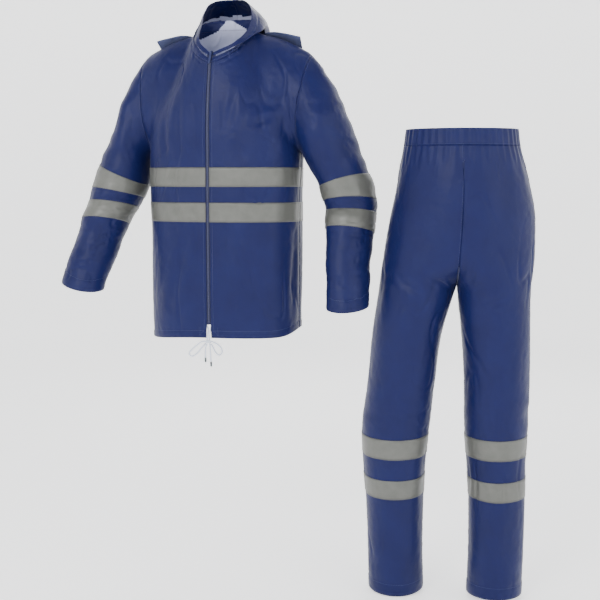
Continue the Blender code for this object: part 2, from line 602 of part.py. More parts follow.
def build_jacket(place, materials):
    front_left, front_right, back = body_panels()
    sleeves = {
        "left": sleeve_rows(1, LEFT_SLEEVE, SLEEVE_TAPES["left"], front_left, back),
        "right": sleeve_rows(-1, RIGHT_SLEEVE, SLEEVE_TAPES["right"], front_right, back),
    }
    hood = {"left": hood_rows(front_left, back, 1), "right": hood_rows(front_right, back, -1)}
    panels = {
        "front_left": rows_to_panel("jacket_front_left", front_left),
        "front_right": rows_to_panel("jacket_front_right", front_right),
        "back": rows_to_panel("jacket_back", back),
        "sleeve_left": rows_to_panel("sleeve_left", sleeves["left"], closed=True, flip=True),
        "sleeve_right": rows_to_panel("sleeve_right", sleeves["right"], closed=True),
        "hood_left": rows_to_panel("hood_left", hood["left"]),
        "hood_right": rows_to_panel("hood_right", [row[::-1] for row in hood["right"]]),
    }
    sew(list(panels.values()), JACKET_FOLDS)
    for panel in panels.values():
        wall_object(panel, place, materials["navy_cloth"])
    wall_object(flap_panel(back, panels["back"]), place, materials["navy_cloth"])

    heights = body_heights()
    for level, (low, high) in BODY_TAPES.items():
        first = 1 + int(np.argmin(np.abs(np.array(heights) - low)))
        last = 1 + int(np.argmin(np.abs(np.array(heights) - high)))
        for name, rows in (("front_left", front_left), ("front_right", front_right), ("back", back)):
            widths = [len(row) for row in rows]
            tape = tape_from(f"tape_{level}_{name}", panels[name], "open", widths, first, last)
            wall_object(tape, place, materials["grey_tape"], lift=TAPE_LIFT)
    for side, rows in sleeves.items():
        widths = [len(row) for row in rows]
        for level, first in (("upper", 6), ("lower", 10)):
            name = f"tape_{level}_sleeve_{side}"
            tape = tape_from(name, panels[f"sleeve_{side}"], "ring", widths, first, first + 2)
            wall_object(tape, place, materials["grey_tape"], lift=TAPE_LIFT)
    return panels, front_left, hood["left"]


def zip_line(panels, front_rows, hood):
    """Points up the middle of the zip, the way out there, and how far the cloth beside it falls back."""
    spots = [("front", i, len(front_rows[0])) for i in range(1, len(front_rows))]
    spots += [("hood", i, len(hood[0])) for i in range(1, len(hood))]
    points, normals, falls = [], [], []
    for part, i, width in spots:
        left, right = panels[f"{part}_left"], panels[f"{part}_right"]
        edge, normal = left.points[i * width], left.normals[i * width] * [0, 1, 1]
        normal /= np.linalg.norm(normal)
        sides = (
            (edge, left.points[i * width + 1]),
            (right.points[(i + 1) * width - 1], right.points[(i + 1) * width - 2]),
        )
        share = [(ZIP_TAPE_HALF - abs(near[0])) / abs(far[0] - near[0]) for near, far in sides]
        fall = max(float((near - far) @ normal) * k for (near, far), k in zip(sides, share))
        points.append(edge * [0, 1, 1])
        normals.append(normal)
        falls.append(max(fall, 0.0) + ZIP_EDGE_CLEAR)
    return np.array(points), np.array(normals), np.array(falls)


def build_zip(line, place, materials):
    """Zip tape behind the fronts' edges, with the chain as a low ridge between them."""
    behind = CLOTH + SEAM_GAP
    rings = []
    for point, normal, fall in zip(*line):
        profile = (
            (-ZIP_TAPE_HALF, behind + fall + ZIP_TAPE_THICK),
            (-ZIP_TAPE_HALF, behind + fall),
            (-ZIP_CHAIN_HALF, behind),
            (-ZIP_CHAIN_HALF, ZIP_CHAIN_SUNK),
            (ZIP_CHAIN_HALF, ZIP_CHAIN_SUNK),
            (ZIP_CHAIN_HALF, behind),
            (ZIP_TAPE_HALF, behind + fall),
            (ZIP_TAPE_HALF, behind + fall + ZIP_TAPE_THICK),
        )
        rings.append([point + [x, 0, 0] - normal * depth for x, depth in profile])
    size = len(profile)
    faces = [tuple(reversed(range(size)))]
    for i in range(len(rings) - 1):
        for j in range(size):
            here, beside = i * size + j, i * size + (j + 1) % size
            faces.append((here, beside, beside + size, here + size))
    faces.append(tuple(range((len(rings) - 1) * size, len(rings) * size)))
    mesh_object("zip", np.concatenate(rings), faces, place, materials["navy_zip"], smooth=False)


def prism(outline, low, high):
    """A closed prism: an outline in Y and Z, extruded along X."""
    count = len(outline)
    points = [(low, y, z) for y, z in outline] + [(high, y, z) for y, z in outline]
    faces = [tuple(range(count)), tuple(reversed(range(count, 2 * count)))]
    faces += [(i, i + count, (i + 1) % count + count, (i + 1) % count) for i in range(count)]
    return points, faces


def slider_frame(line):
    """Frame at the slider: X across, Y out of the cloth's face turned inwards, Z up along the zip."""
    points, normals, _ = line
    height = points[:, 2]
    spot = np.array([np.interp(SLIDER_HEIGHT, height, points[:, i]) for i in range(3)])
    out = np.array([np.interp(SLIDER_HEIGHT, height, normals[:, i]) for i in range(3)])
    out /= np.linalg.norm(out)
    up = np.cross([-1, 0, 0], out)
    return spot, out, up


def build_slider(line, place, materials):
    """Slider with the bridge that holds the pull tab, and the tab hanging from it down the cloth."""
    spot, out, up = slider_frame(line)
    frame = Matrix((
        (1, -out[0], up[0], spot[0]), (0, -out[1], up[1], spot[1]), (0, -out[2], up[2], spot[2]), (0, 0, 0, 1),
    ))
    half_width, depth, half_height = SLIDER_SIZE[0] / 2, SLIDER_SIZE[1], SLIDER_SIZE[2] / 2
    face = -(depth - ZIP_CHAIN_SUNK)
    axis_y = face - BRIDGE_INNER * 0.45
    foot = SLIDER_CLEAR - ZIP_CHAIN_SUNK
    plan = ((-0.7, -1), (-0.85, 0.1), (-1, 1), (1, 1), (0.85, 0.1), (0.7, -1))
    count = len(plan)
    points = [(x * half_width, y, z * half_height) for y in (-foot, face) for x, z in plan]
    faces = [tuple(range(count)), tuple(reversed(range(count, 2 * count)))]
    faces += [(i, i + count, (i + 1) % count + count, (i + 1) % count) for i in range(count)]
    slider = mesh_object("zip_slider", points, faces, place @ frame, materials["slider_metal"], smooth=False)

    arch_angles = np.linspace(0, math.pi, 9)
    outer = [(axis_y - BRIDGE_OUTER * math.sin(a), BRIDGE_OUTER * 1.15 * math.cos(a)) for a in arch_angles]
    inner = [(axis_y - BRIDGE_INNER * math.sin(a), BRIDGE_INNER * 1.3 * math.cos(a)) for a in arch_angles[::-1]]
    sunk = face + 0.0006
    outline = [(sunk, outer[0][1]), *outer, (sunk, outer[-1][1]), (sunk, inner[0][1]), *inner, (sunk, inner[-1][1])]
    points, faces = prism(outline, -BRIDGE_WIDTH / 2, BRIDGE_WIDTH / 2)
    bridge = mesh_object("bridge", points, faces, place @ frame, materials["slider_metal"], smooth=False)
    bridge.hide_render = True
    bridge.display_type = "WIRE"
    join = slider.modifiers.new("bridge", "BOOLEAN")
    join.operation = "UNION"
    join.solver = "EXACT"
    join.object = bridge

    pivot = place @ frame @ Vector((0, axis_y, 0))
    build_tab(place @ frame @ Matrix.Translation((0, axis_y, 0)), materials)
    return pivot


def build_tab(frame, materials):
    """Pull tab: a flat tongue with a slot. Its top bar passes under the slider's bridge."""
    pin, eye_half = TAB_PIN, BRIDGE_WIDTH / 2 + 0.0004
    eye_low = -(BRIDGE_OUTER * 1.15 + 0.0012)
    w, end = TAB_HALF_WIDTH, -TAB_LENGTH
    outer = [(-w, pin), (-w, -0.012), (-w, -0.024), (-w * 0.6, end), (w * 0.6, end), (w, -0.024), (w, -0.012), (w, pin)]
    inner = [(-eye_half, -pin), (-eye_half, -0.003), (-eye_half, eye_low * 0.85), (-eye_half * 0.5, eye_low),
             (eye_half * 0.5, eye_low), (eye_half, eye_low * 0.85), (eye_half, -0.003), (eye_half, -pin)]
    count = len(outer)
    points = []
    for y in (-TAB_THICK / 2, TAB_THICK / 2):
        points += [(x, y, z) for x, z in outer] + [(x, y, z) for x, z in inner]
    faces = []
    for i in range(count):
        j = (i + 1) % count
        front, hole, back, back_hole = i, i + count, i + 2 * count, i + 3 * count
        front_j, hole_j, back_j, back_hole_j = j, j + count, j + 2 * count, j + 3 * count
        faces += [
            (front, front_j, hole_j, hole),
            (back, back_hole, back_hole_j, back_j),
            (front, back, back_j, front_j),
            (hole, hole_j, back_hole_j, back_hole),
        ]
    mesh_object("zip_pull_tab", points, faces, frame, materials["slider_metal"], smooth=False)


def cord_points(route):
    """Points a step apart on a smooth curve through a cord's own points."""
    route = np.array(route)
    ends = np.concatenate([[2 * route[0] - route[1]], route, [2 * route[-1] - route[-2]]])
    fine = []
    for i in range(1, len(ends) - 2):
        a, b, c, d = ends[i - 1 : i + 3]
        for t in np.linspace(0, 1, 12, endpoint=False):
            fine.append(0.5 * (2 * b + (c - a) * t + (2 * a - 5 * b + 4 * c - d) * t**2 + (3 * b - a - 3 * c + d) * t**3))
    fine = np.array(fine + [route[-1]])
    reach = np.concatenate([[0], np.cumsum(np.linalg.norm(np.diff(fine, axis=0), axis=1))])
    at = np.linspace(0, reach[-1], max(3, round(reach[-1] / CORD_STEP)) + 1)
    return np.column_stack([np.interp(at, reach, fine[:, i]) for i in range(3)])


def tube_object(name, points, radii, place, material):
    data = bpy.data.curves.new(name, "CURVE")
    data.dimensions = "3D"
    data.bevel_depth = CORD_RADIUS
    data.bevel_resolution = 2
    data.use_fill_caps = True
    spline = data.splines.new("POLY")
    spline.points.add(len(points) - 1)
    for spot, point, radius in zip(spline.points, points, radii):
        spot.co = (*(place @ Vector(point)), 1)
        spot.radius = radius / CORD_RADIUS
    obj = bpy.data.objects.new(name, data)
    data.materials.append(material)
    bpy.context.scene.collection.objects.link(obj)
    return obj


def build_drawcord(place, materials):
    for name, route in CORD_ROUTES.items():
        points = cord_points(route)
        tube_object(name, points, [CORD_RADIUS] * len(points), place, materials["pale_cord"])
        if "tail" in name:
            way = points[-1] - points[-2]
            way /= np.linalg.norm(way)
            start = points[-1] + way * SEAM_GAP
            tip = [start + way * TIP_LENGTH * share for share in (0.0, 0.15, 0.8, 1.0)]
            radii = (TIP_RADIUS * 0.8, TIP_RADIUS, TIP_RADIUS * 0.95, TIP_RADIUS * 0.6)
            tube_object(name.replace("tail", "tip"), tip, radii, place, materials["dark_tip"])
    build_knot(place, materials)


def build_knot(place, materials):
    """The bow's knot: a flattened lump, waisted where the strands cross it, drawn back from each cord."""
    rings, sides = 9, 12
    middle = np.array(KNOT_MIDDLE)
    points = [middle - [KNOT_SIZE[0] / 2, 0, 0]]
    for i in range(1, rings):
        turn = math.pi * i / rings
        waist = 0.88 + 0.12 * math.cos(2 * turn)
        for j in range(sides):
            side = 2 * math.pi * j / sides
            reach = math.sin(turn) ** 0.7 * waist
            points.append(middle + [
                -KNOT_SIZE[0] / 2 * math.cos(turn),
                KNOT_SIZE[1] / 2 * reach * math.cos(side),
                KNOT_SIZE[2] / 2 * reach * math.sin(side),
            ])
    points.append(middle + [KNOT_SIZE[0] / 2, 0, 0])
    last = len(points) - 1
    faces = [(0, 1 + (j + 1) % sides, 1 + j) for j in range(sides)]
    for i in range(rings - 2):
        for j in range(sides):
            a, b = 1 + i * sides + j, 1 + i * sides + (j + 1) % sides
            faces.append((a, b, b + sides, a + sides))
    faces += [(last, last - sides + j, last - sides + (j + 1) % sides) for j in range(sides)]
    mesh_object("cord_knot", points, faces, place, materials["pale_cord"])


# Trousers

GATHERED_STEPS = WAIST_GATHERS // 2
LEG_STEPS = 8


def leg_row(table, height, side, back, steps):
    """A row of one leg panel. It runs round the leg as the angles of the jacket do."""
    seam, outer = float(column(table, "seam_x", height)[0]), float(column(table, "outer_x", height)[0])
    closing = float(np.interp(-height, [-z for z in table["height"]], table["closing"]))
    width = abs(outer - seam) / (1 + closing)
    depth = float(column(table, "back_depth" if back else "front_depth", height)[0])
    start = math.acos(-closing)
    turn = np.linspace(start, 0, steps + 1)
    x = seam + side * width * (closing + np.cos(turn))
    y = float(column(table, "middle_y", height)[0]) + (1 if back else -1) * depth * np.sin(turn)
    drop = float(column(table, "front_drop", height)[0])
    row = np.column_stack([x, y, height + (drop if back else -drop) * np.sin(turn)])
    return row if (side > 0) != back else row[::-1]


def gathered(row, depth, waves):
    """Pushes every other point of a row out and in, as elastic gathers the cloth."""
    middle = np.array([0.0, 0.0])
    away = row[:, :2] - middle
    away /= np.linalg.norm(away, axis=1, keepdims=True)
    push = depth * np.cos(math.pi * waves * np.linspace(0, 1, len(row)))
    return row + np.column_stack([away * push[:, None], np.zeros(len(row))])


def leg_levels(table):
    """Height, number of steps and gather depth of each row, from the hem up."""
    lower, upper = LEG_TAPES["lower"], LEG_TAPES["upper"]
    heights = np.concatenate([
        np.linspace(table["height"][-1], lower[0], 6),
        [lower[1], upper[0]],
        np.linspace(upper[1], CROTCH, 9),
        np.linspace(CROTCH, -0.385, 8)[1:],
    ])
    levels = [(height, LEG_STEPS, 0.0) for height in heights]
    levels += [
        (-0.345, GATHERED_STEPS // 2, 0.7 * GATHER_DEPTH),
        (-0.314, GATHERED_STEPS, 0.8 * GATHER_DEPTH),
        (CASING_FOOT, GATHERED_STEPS, GATHER_DEPTH),
    ]
    return levels


def leg_rows(table, side, back):
    rows = []
    for height, steps, depth in leg_levels(table):
        row = leg_row(table, height, side, back, steps)
        rows.append(gathered(row, depth, steps) if depth else row)
    return rows


def build_trousers(place, materials):
    legs = {"right": (RIGHT_LEG, -1), "left": (LEFT_LEG, 1)}
    rows = {
        (side, part): leg_rows(table, sign, part == "back")
        for side, (table, sign) in legs.items()
        for part in ("front", "back")
    }
    panels = {key: rows_to_panel(f"trouser_{key[1]}_{key[0]}", value) for key, value in rows.items()}
    casing_rows = []
    for height in (CASING_FOOT, (CASING_FOOT + WAIST) / 2, WAIST):
        quarters = []
        for side, part in (("left", "front"), ("left", "back"), ("right", "back"), ("right", "front")):
            table, sign = legs[side]
            row = leg_row(table, height, sign, part == "back", GATHERED_STEPS)
            quarters.append(gathered(row, GATHER_DEPTH, GATHERED_STEPS)[:-1])
        casing_rows.append(np.concatenate(quarters))
    casing = rows_to_panel("waistband", casing_rows, closed=True, wall=CASING)
    sew([*panels.values(), casing], TROUSER_FOLDS)
    for panel in [*panels.values(), casing]:
        wall_object(panel, place, materials["navy_cloth"])

    for side in legs:
        front, back = panels[(side, "front")], panels[(side, "back")]
        heights = np.array([level[0] for level in leg_levels(legs[side][0])])
        for level, (low, high) in LEG_TAPES.items():
            first, last = int(np.argmin(np.abs(heights - low))), int(np.argmin(np.abs(heights - high)))
            ring_rows, ring_normals = [], []
            for i in range(first, last + 1):
                own = slice(i * (LEG_STEPS + 1), (i + 1) * (LEG_STEPS + 1) - 1)
                order = (front, back) if side == "left" else (back, front)
                ring_rows.append(np.concatenate([panel.points[own] for panel in order]))
                ring_normals.append(np.concatenate([panel.normals[own] for panel in order]))
            tape = rows_to_panel(f"tape_{level}_leg_{side}", ring_rows, closed=True, wall=TAPE)
            tape.normals = np.concatenate(ring_normals)
            wall_object(tape, place, materials["grey_tape"], lift=TAPE_LIFT)


def main():
    for obj in list(bpy.data.objects):
        bpy.data.objects.remove(obj)
    materials = {
        "navy_cloth": cloth_material("navy_cloth", (0.022, 0.032, 0.125), 0.5),
        "grey_tape": cloth_material("grey_tape", (0.24, 0.24, 0.22), 0.35),
        "navy_zip": cloth_material("navy_zip", (0.012, 0.016, 0.060), 0.6),
        "slider_metal": cloth_material("slider_metal", (0.20, 0.22, 0.34), 0.35),
        "pale_cord": cloth_material("pale_cord", (0.55, 0.57, 0.62), 0.8),
        "dark_tip": cloth_material("dark_tip", (0.05, 0.055, 0.06), 0.4),
    }
    materials["slider_metal"].node_tree.nodes["Principled BSDF"].inputs["Metallic"].default_value = 0.9
    jacket = Matrix.Rotation(JACKET_TURN, 4, "Z")
    trousers = Matrix.Translation(TROUSERS_PLACE) @ Matrix.Rotation(TROUSERS_TURN, 4, "Z")
    panels, front_rows, hood = build_jacket(jacket, materials)
    line = zip_line(panels, front_rows, hood)
    build_zip(line, jacket, materials)
    build_slider(line, jacket, materials)
    build_drawcord(jacket, materials)
    build_trousers(trousers, materials)


main()
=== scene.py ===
# %% [markdown]
# # A rain suit in coated cloth
# The suit is a hooded jacket and trousers in navy rainwear cloth, with grey
# reflective tapes, a front zip and a drawcord at the hem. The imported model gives
# the true shape and size of every sewn piece. This lesson turns that model into
# cloth: it takes the outer skin of each piece, sews the skins together, refines
# them, presses folds and seams into them, and cuts them apart again.

import math

import bmesh
import bpy
import numpy as np
from mathutils import Matrix, Vector, noise
from mathutils.bvhtree import BVHTree
from mathutils.kdtree import KDTree


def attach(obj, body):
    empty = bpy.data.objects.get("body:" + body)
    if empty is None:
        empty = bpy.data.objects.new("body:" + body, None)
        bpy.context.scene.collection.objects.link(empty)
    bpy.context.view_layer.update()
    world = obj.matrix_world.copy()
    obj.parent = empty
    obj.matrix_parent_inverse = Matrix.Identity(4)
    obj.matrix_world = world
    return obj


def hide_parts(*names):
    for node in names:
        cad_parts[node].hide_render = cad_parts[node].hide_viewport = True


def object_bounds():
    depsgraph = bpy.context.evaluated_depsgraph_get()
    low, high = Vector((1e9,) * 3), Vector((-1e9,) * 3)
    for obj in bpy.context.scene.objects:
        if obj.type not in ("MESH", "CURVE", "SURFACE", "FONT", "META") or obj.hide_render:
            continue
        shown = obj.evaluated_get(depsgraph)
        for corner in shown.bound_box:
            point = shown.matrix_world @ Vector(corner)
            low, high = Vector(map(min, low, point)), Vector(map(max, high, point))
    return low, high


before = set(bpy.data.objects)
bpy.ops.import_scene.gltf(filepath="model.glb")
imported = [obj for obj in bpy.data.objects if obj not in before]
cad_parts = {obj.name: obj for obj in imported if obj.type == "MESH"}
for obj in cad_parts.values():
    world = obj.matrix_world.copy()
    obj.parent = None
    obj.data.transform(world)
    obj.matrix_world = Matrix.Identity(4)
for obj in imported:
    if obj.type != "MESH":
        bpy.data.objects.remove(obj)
cad_low, cad_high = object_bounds()
print("model box", [round(x, 4) for x in cad_low], [round(x, 4) for x in cad_high])

MM = 0.001
JACKET_PLACE = Matrix.Rotation(math.radians(-17), 4, "Z")
TROUSERS_PLACE = Matrix.Translation((0.589, -0.12, 0.0)) @ Matrix.Rotation(math.radians(-7), 4, "Z")

# %% [markdown]
# ## Small helpers
# Real suits are described by colours, sizes and seams, so the helpers are the
# same: a colour from its hex value, one function that adds a shader node, and
# one that starts a material. A scale is always worked out from a real size.

# %% Helpers for colours and nodes
def colour(hex_value):
    """A linear colour from an sRGB hex value such as #2c335f."""
    parts = [int(hex_value[i : i + 2], 16) / 255 for i in (1, 3, 5)]
    return [c / 12.92 if c <= 0.04045 else ((c + 0.055) / 1.055) ** 2.4 for c in parts] + [1.0]


def per_metre(millimetres):
    """A pattern scale whose features are about this far apart."""
    return 1000.0 / millimetres


def add_node(tree, kind, settings=None, inputs=None):
    """Adds a node, then fills its settings and its inputs, linking those that are sockets."""
    made = tree.nodes.new(kind)
    for name, value in (settings or {}).items():
        setattr(made, name, value)
    for name, value in (inputs or {}).items():
        if isinstance(value, bpy.types.NodeSocket):
            tree.links.new(value, made.inputs[name])
        else:
            made.inputs[name].default_value = value
    return made


def start_material(name, **sockets):
    """A material with one Principled shader, and its tree. Sockets are given in lower case, with _ for a space."""
    material = bpy.data.materials.new(name)
    material.use_nodes = True
    tree = material.node_tree
    tree.nodes.clear()
    shader = add_node(tree, "ShaderNodeBsdfPrincipled")
    by_word = {socket.name.lower().replace(" ", "_"): socket for socket in shader.inputs}
    for word, value in sockets.items():
        by_word[word].default_value = value
    add_node(tree, "ShaderNodeOutputMaterial", inputs={"Surface": shader.outputs["BSDF"]})
    return material, tree, shader


def blend_colours(tree, shader, factor, first, second):
    """Base colour between two colours, by a pattern."""
    mixed = add_node(
        tree, "ShaderNodeMix", {"data_type": "RGBA"}, {0: factor, 6: colour(first), 7: colour(second)}
    )
    tree.links.new(mixed.outputs[2], shader.inputs["Base Color"])


def raise_surface(tree, shader, height, millimetres, strength):
    """Bump from a pattern, as deep as the real relief."""
    bump = add_node(
        tree,
        "ShaderNodeBump",
        inputs={"Height": height, "Distance": millimetres * MM, "Strength": strength},
    )
    tree.links.new(bump.outputs["Normal"], shader.inputs["Normal"])


# %% [markdown]
# ## Materials
# The cloth is polyester with a soft coating: it is navy, nearly even, and a
# broad dull gleam lies along the folds. The coating's faint grain is too fine to
# show at this distance, so it is drawn about three times coarser. The inside is
# the pale uncoated face; under the yoke flap it is painted darker, as painted
# shade. The tapes are cloth set with glass beads: flat grey, with a slight metal
# look. Zip, slider, cord and cord ends are plainer.

# %% Cloth materials
def coated_cloth(name, deep, light, roughness, sheen):
    """Woven polyester with a soft coating: soft gleam, slight grain, colour that drifts."""
    material, tree, shader = start_material(
        name, roughness=roughness, sheen_weight=sheen, sheen_roughness=0.45, specular_ior_level=0.15
    )
    place = add_node(tree, "ShaderNodeTexCoord").outputs["Object"]
    drift = add_node(
        tree, "ShaderNodeTexNoise", inputs={"Vector": place, "Scale": per_metre(70), "Detail": 3.0}
    )
    blend_colours(tree, shader, drift.outputs["Fac"], deep, light)
    grain = add_node(
        tree, "ShaderNodeTexNoise", inputs={"Vector": place, "Scale": per_metre(1.6), "Detail": 2.0}
    )
    crumple = add_node(
        tree, "ShaderNodeTexNoise", inputs={"Vector": place, "Scale": per_metre(16), "Detail": 3.0}
    )
    both = add_node(
        tree,
        "ShaderNodeMath",
        {"operation": "MULTIPLY_ADD"},
        {0: crumple.outputs["Fac"], 1: 4.0, 2: grain.outputs["Fac"]},
    )
    raise_surface(tree, shader, both.outputs["Value"], 0.35, 0.6)
    return material


navy_cloth = coated_cloth("navy_coated_polyester", "#0a0f38", "#111846", 0.43, 0.02)
# The flap's underside is the pale inside fabric painted darker: painted shade under the flap.
flap_underside_painted_shade = coated_cloth("shaded_uncoated_inside", "#3c4262", "#4c5272", 0.75, 0.02)
pale_lining = coated_cloth("pale_uncoated_inside", "#a3a8c6", "#b9bdd6", 0.75, 0.02)


def beaded_tape(name):
    """Retroreflective tape: glass beads on grey cloth, which look like fine sand."""
    material, tree, shader = start_material(name, roughness=0.42, metallic=0.25)
    place = add_node(tree, "ShaderNodeTexCoord").outputs["Object"]
    patches = add_node(
        tree, "ShaderNodeTexNoise", inputs={"Vector": place, "Scale": per_metre(22), "Detail": 4.0}
    )
    blend_colours(tree, shader, patches.outputs["Fac"], "#494a46", "#5d5e5a")
    beads = add_node(tree, "ShaderNodeTexVoronoi", inputs={"Vector": place, "Scale": per_metre(1.1)})
    raise_surface(tree, shader, beads.outputs["Distance"], 0.15, 0.5)
    return material


grey_tape = beaded_tape("glass_bead_tape")
print("cloth materials", navy_cloth.name, pale_lining.name, grey_tape.name)

# %% Trim materials
def trim(name, deep, light, grain_mm, relief_mm, **sockets):
    """A small part's finish: two close colours and a grain of a real size."""
    material, tree, shader = start_material(name, **sockets)
    place = add_node(tree, "ShaderNodeTexCoord").outputs["Object"]
    grain = add_node(
        tree, "ShaderNodeTexNoise", inputs={"Vector": place, "Scale": per_metre(grain_mm), "Detail": 3.0}
    )
    blend_colours(tree, shader, grain.outputs["Fac"], deep, light)
    raise_surface(tree, shader, grain.outputs["Fac"], relief_mm, 0.5)
    return material


zip_ribbon = trim("woven_zip_ribbon", "#0c1030", "#12183c", 0.8, 0.2, roughness=0.7)
zip_plastic = trim("moulded_zip_teeth", "#101638", "#1c2350", 2.0, 0.05, roughness=0.35, coat_weight=0.2)
slider_paint = trim("painted_zip_slider", "#2a3158", "#454c74", 1.5, 0.04, roughness=0.35, metallic=0.6)
braided_cord = trim("braided_white_cord", "#aab1bf", "#dde2ec", 1.2, 0.5, roughness=0.8, sheen_weight=0.2)
cord_end = trim("moulded_cord_end", "#31393c", "#565d61", 3.0, 0.05, roughness=0.4)
sewing_thread = trim("navy_sewing_thread", "#171e4c", "#242c5c", 0.5, 0.1, roughness=0.6)
tape_thread = trim("grey_sewing_thread", "#4a4c4c", "#5c5e5e", 0.5, 0.1, roughness=0.6)
print("trim materials made:", len(bpy.data.materials))

# %% [markdown]
# ## Camera
# The photograph was taken from in front, a little above the hem, and looks down
# by about six degrees. The lens is long, so the suit keeps its proportions.

# %% Camera
camera_data = bpy.data.cameras.new("photo_camera")
camera_data.lens = 72.4
camera_data.sensor_width = 36
camera = bpy.data.objects.new("photo_camera", camera_data)
camera.location = (0.186, -3.10, -0.368)
camera.rotation_euler = (math.radians(90 - 5.68), 0, 0)
bpy.context.scene.collection.objects.link(camera)
bpy.context.scene.camera = camera
print("camera at", tuple(round(x, 3) for x in camera.location))

# %% [markdown]
# ## Drawcord
# A limp braided cord runs in the jacket's hem and comes out at the slit below
# the zip, where it is tied in a bow: two leads, a knot, two loops and two tails
# with moulded ends. Each stretch is a tube along listed points, the same
# ones as in the model, because the bow has a shape of its own and no rule.

# %% Drawcord
CORD_RADIUS = 2.1 * MM
CORD_STEP = 7 * MM
CORD_ROUTES = {
    "cord_lead_right": (
        (-0.0090, -0.1315, -0.7262), (-0.0045, -0.1322, -0.7320), (-0.0025, -0.1352, -0.7400),
        (-0.0025, -0.1395, -0.7490), (-0.0028, -0.1418, -0.7622),
    ),
    "cord_lead_left": (
        (0.0090, -0.1315, -0.7262), (0.0045, -0.1322, -0.7320), (0.0026, -0.1352, -0.7400),
        (0.0028, -0.1395, -0.7490), (0.0036, -0.1418, -0.7622),
    ),
    "cord_loop_right": (
        (-0.0085, -0.1430, -0.7655), (-0.0180, -0.1450, -0.7680), (-0.0330, -0.1450, -0.7795),
        (-0.0465, -0.1440, -0.7915), (-0.0500, -0.1430, -0.8000), (-0.0430, -0.1420, -0.8045),
        (-0.0345, -0.1410, -0.8005), (-0.0250, -0.1405, -0.7915), (-0.0160, -0.1405, -0.7800),
        (-0.0071, -0.1408, -0.7716),
    ),
    "cord_loop_left": (
        (0.0095, -0.1430, -0.7655), (0.0190, -0.1450, -0.7680), (0.0300, -0.1450, -0.7745),
        (0.0370, -0.1440, -0.7840), (0.0365, -0.1430, -0.7935), (0.0290, -0.1420, -0.7985),
        (0.0205, -0.1410, -0.7940), (0.0145, -0.1405, -0.7850), (0.0081, -0.1408, -0.7716),
    ),
    "cord_tail_right": (
        (-0.0025, -0.1425, -0.7714), (-0.0058, -0.1440, -0.7800), (-0.0070, -0.1440, -0.7930),
        (-0.0068, -0.1435, -0.8060),
    ),
    "cord_tail_left": (
        (0.0040, -0.1425, -0.7709), (0.0062, -0.1440, -0.7800), (0.0068, -0.1440, -0.7950),
        (0.0078, -0.1435, -0.8160),
    ),
}


def smooth_route(route):
    """Points a step apart on a smooth curve through a cord's own points."""
    route = np.array(route)
    ends = np.concatenate([[2 * route[0] - route[1]], route, [2 * route[-1] - route[-2]]])
    fine = []
    for i in range(1, len(ends) - 2):
        a, b, c, d = ends[i - 1 : i + 3]
        for t in np.linspace(0, 1, 12, endpoint=False):
            pull = (2 * a - 5 * b + 4 * c - d) * t**2 + (3 * b - a - 3 * c + d) * t**3
            fine.append(0.5 * (2 * b + (c - a) * t + pull))
    fine = np.array(fine + [route[-1]])
    reach = np.concatenate([[0], np.cumsum(np.linalg.norm(np.diff(fine, axis=0), axis=1))])
    at = np.linspace(0, reach[-1], max(3, round(reach[-1] / CORD_STEP)) * 2 + 1)
    return np.column_stack([np.interp(at, reach, fine[:, i]) for i in range(3)]), reach[-1]


def lay_cord(node, route):
    """A cord as a curve of one spline, in the place of its model solid."""
    points, length = smooth_route(route)
    data = bpy.data.curves.new("braided_" + node, "CURVE")
    data.dimensions = "3D"
    data.bevel_depth = CORD_RADIUS
    data.bevel_resolution = 4
    data.use_fill_caps = True
    spline = data.splines.new("POLY")
    spline.points.add(len(points) - 1)
    for spot, point in zip(spline.points, points):
        spot.co = (*(JACKET_PLACE @ Vector(point)), 1)
    piece = bpy.data.objects.new("braided_" + node, data)
    bpy.context.scene.collection.objects.link(piece)
    data.materials.append(braided_cord)
    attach(piece, "suit")
    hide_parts(node)
    print(f"{node}: {length * 1000:.0f} mm of cord")
    return piece


for node, route in CORD_ROUTES.items():
    lay_cord(node, route)

# %% [markdown]
# ## The cloth's skins
# A model wall has an outer skin, an inner skin and a narrow rim between them.
# Only the outer skin is kept, because it lies where the photograph shows the
# cloth. The rim's triangles are the ones with a side as short as the wall is
# thick. The skins of one garment are then sewn together along their seams, so
# that a fold may run across a seam without a break.

# %% Take the skins and sew them
CLOTH_WALL = 1.6 * MM
CASING_WALL = 3.0 * MM
TAPE_WALL = 1.0 * MM
SEAM_REACH = 2.5 * MM
JACKET_PANELS = (
    "jacket_front_left", "jacket_front_right", "jacket_back",
    "sleeve_left", "sleeve_right", "hood_left", "hood_right",
)
TROUSER_PANELS = (
    "trouser_front_left", "trouser_front_right", "trouser_back_left", "trouser_back_right", "waistband",
)


def faces_together(mesh):
    """The faces of each loose piece of a mesh."""
    left, groups = set(mesh.faces), []
    while left:
        stack, group = [left.pop()], []
        while stack:
            face = stack.pop()
            group.append(face)
            for edge in face.edges:
                for beside in edge.link_faces:
                    if beside in left:
                        left.remove(beside)
                        stack.append(beside)
        groups.append(group)
    return groups


def outer_skin(node, wall):
    """The outer skin of a model wall, as a mesh of mostly four-sided faces."""
    mesh = bmesh.new()
    mesh.from_mesh(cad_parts[node].data)
    bmesh.ops.remove_doubles(mesh, verts=mesh.verts, dist=0.02 * MM)
    rim = [f for f in mesh.faces if min(e.calc_length() for e in f.edges) < 1.15 * wall]
    bmesh.ops.delete(mesh, geom=rim, context="FACES")
    outer = set(max(faces_together(mesh), key=lambda group: sum(f.calc_area() for f in group)))
    bmesh.ops.delete(mesh, geom=[f for f in mesh.faces if f not in outer], context="FACES")
    bmesh.ops.join_triangles(
        mesh, faces=mesh.faces, angle_face_threshold=0.7, angle_shape_threshold=0.7
    )
    return mesh


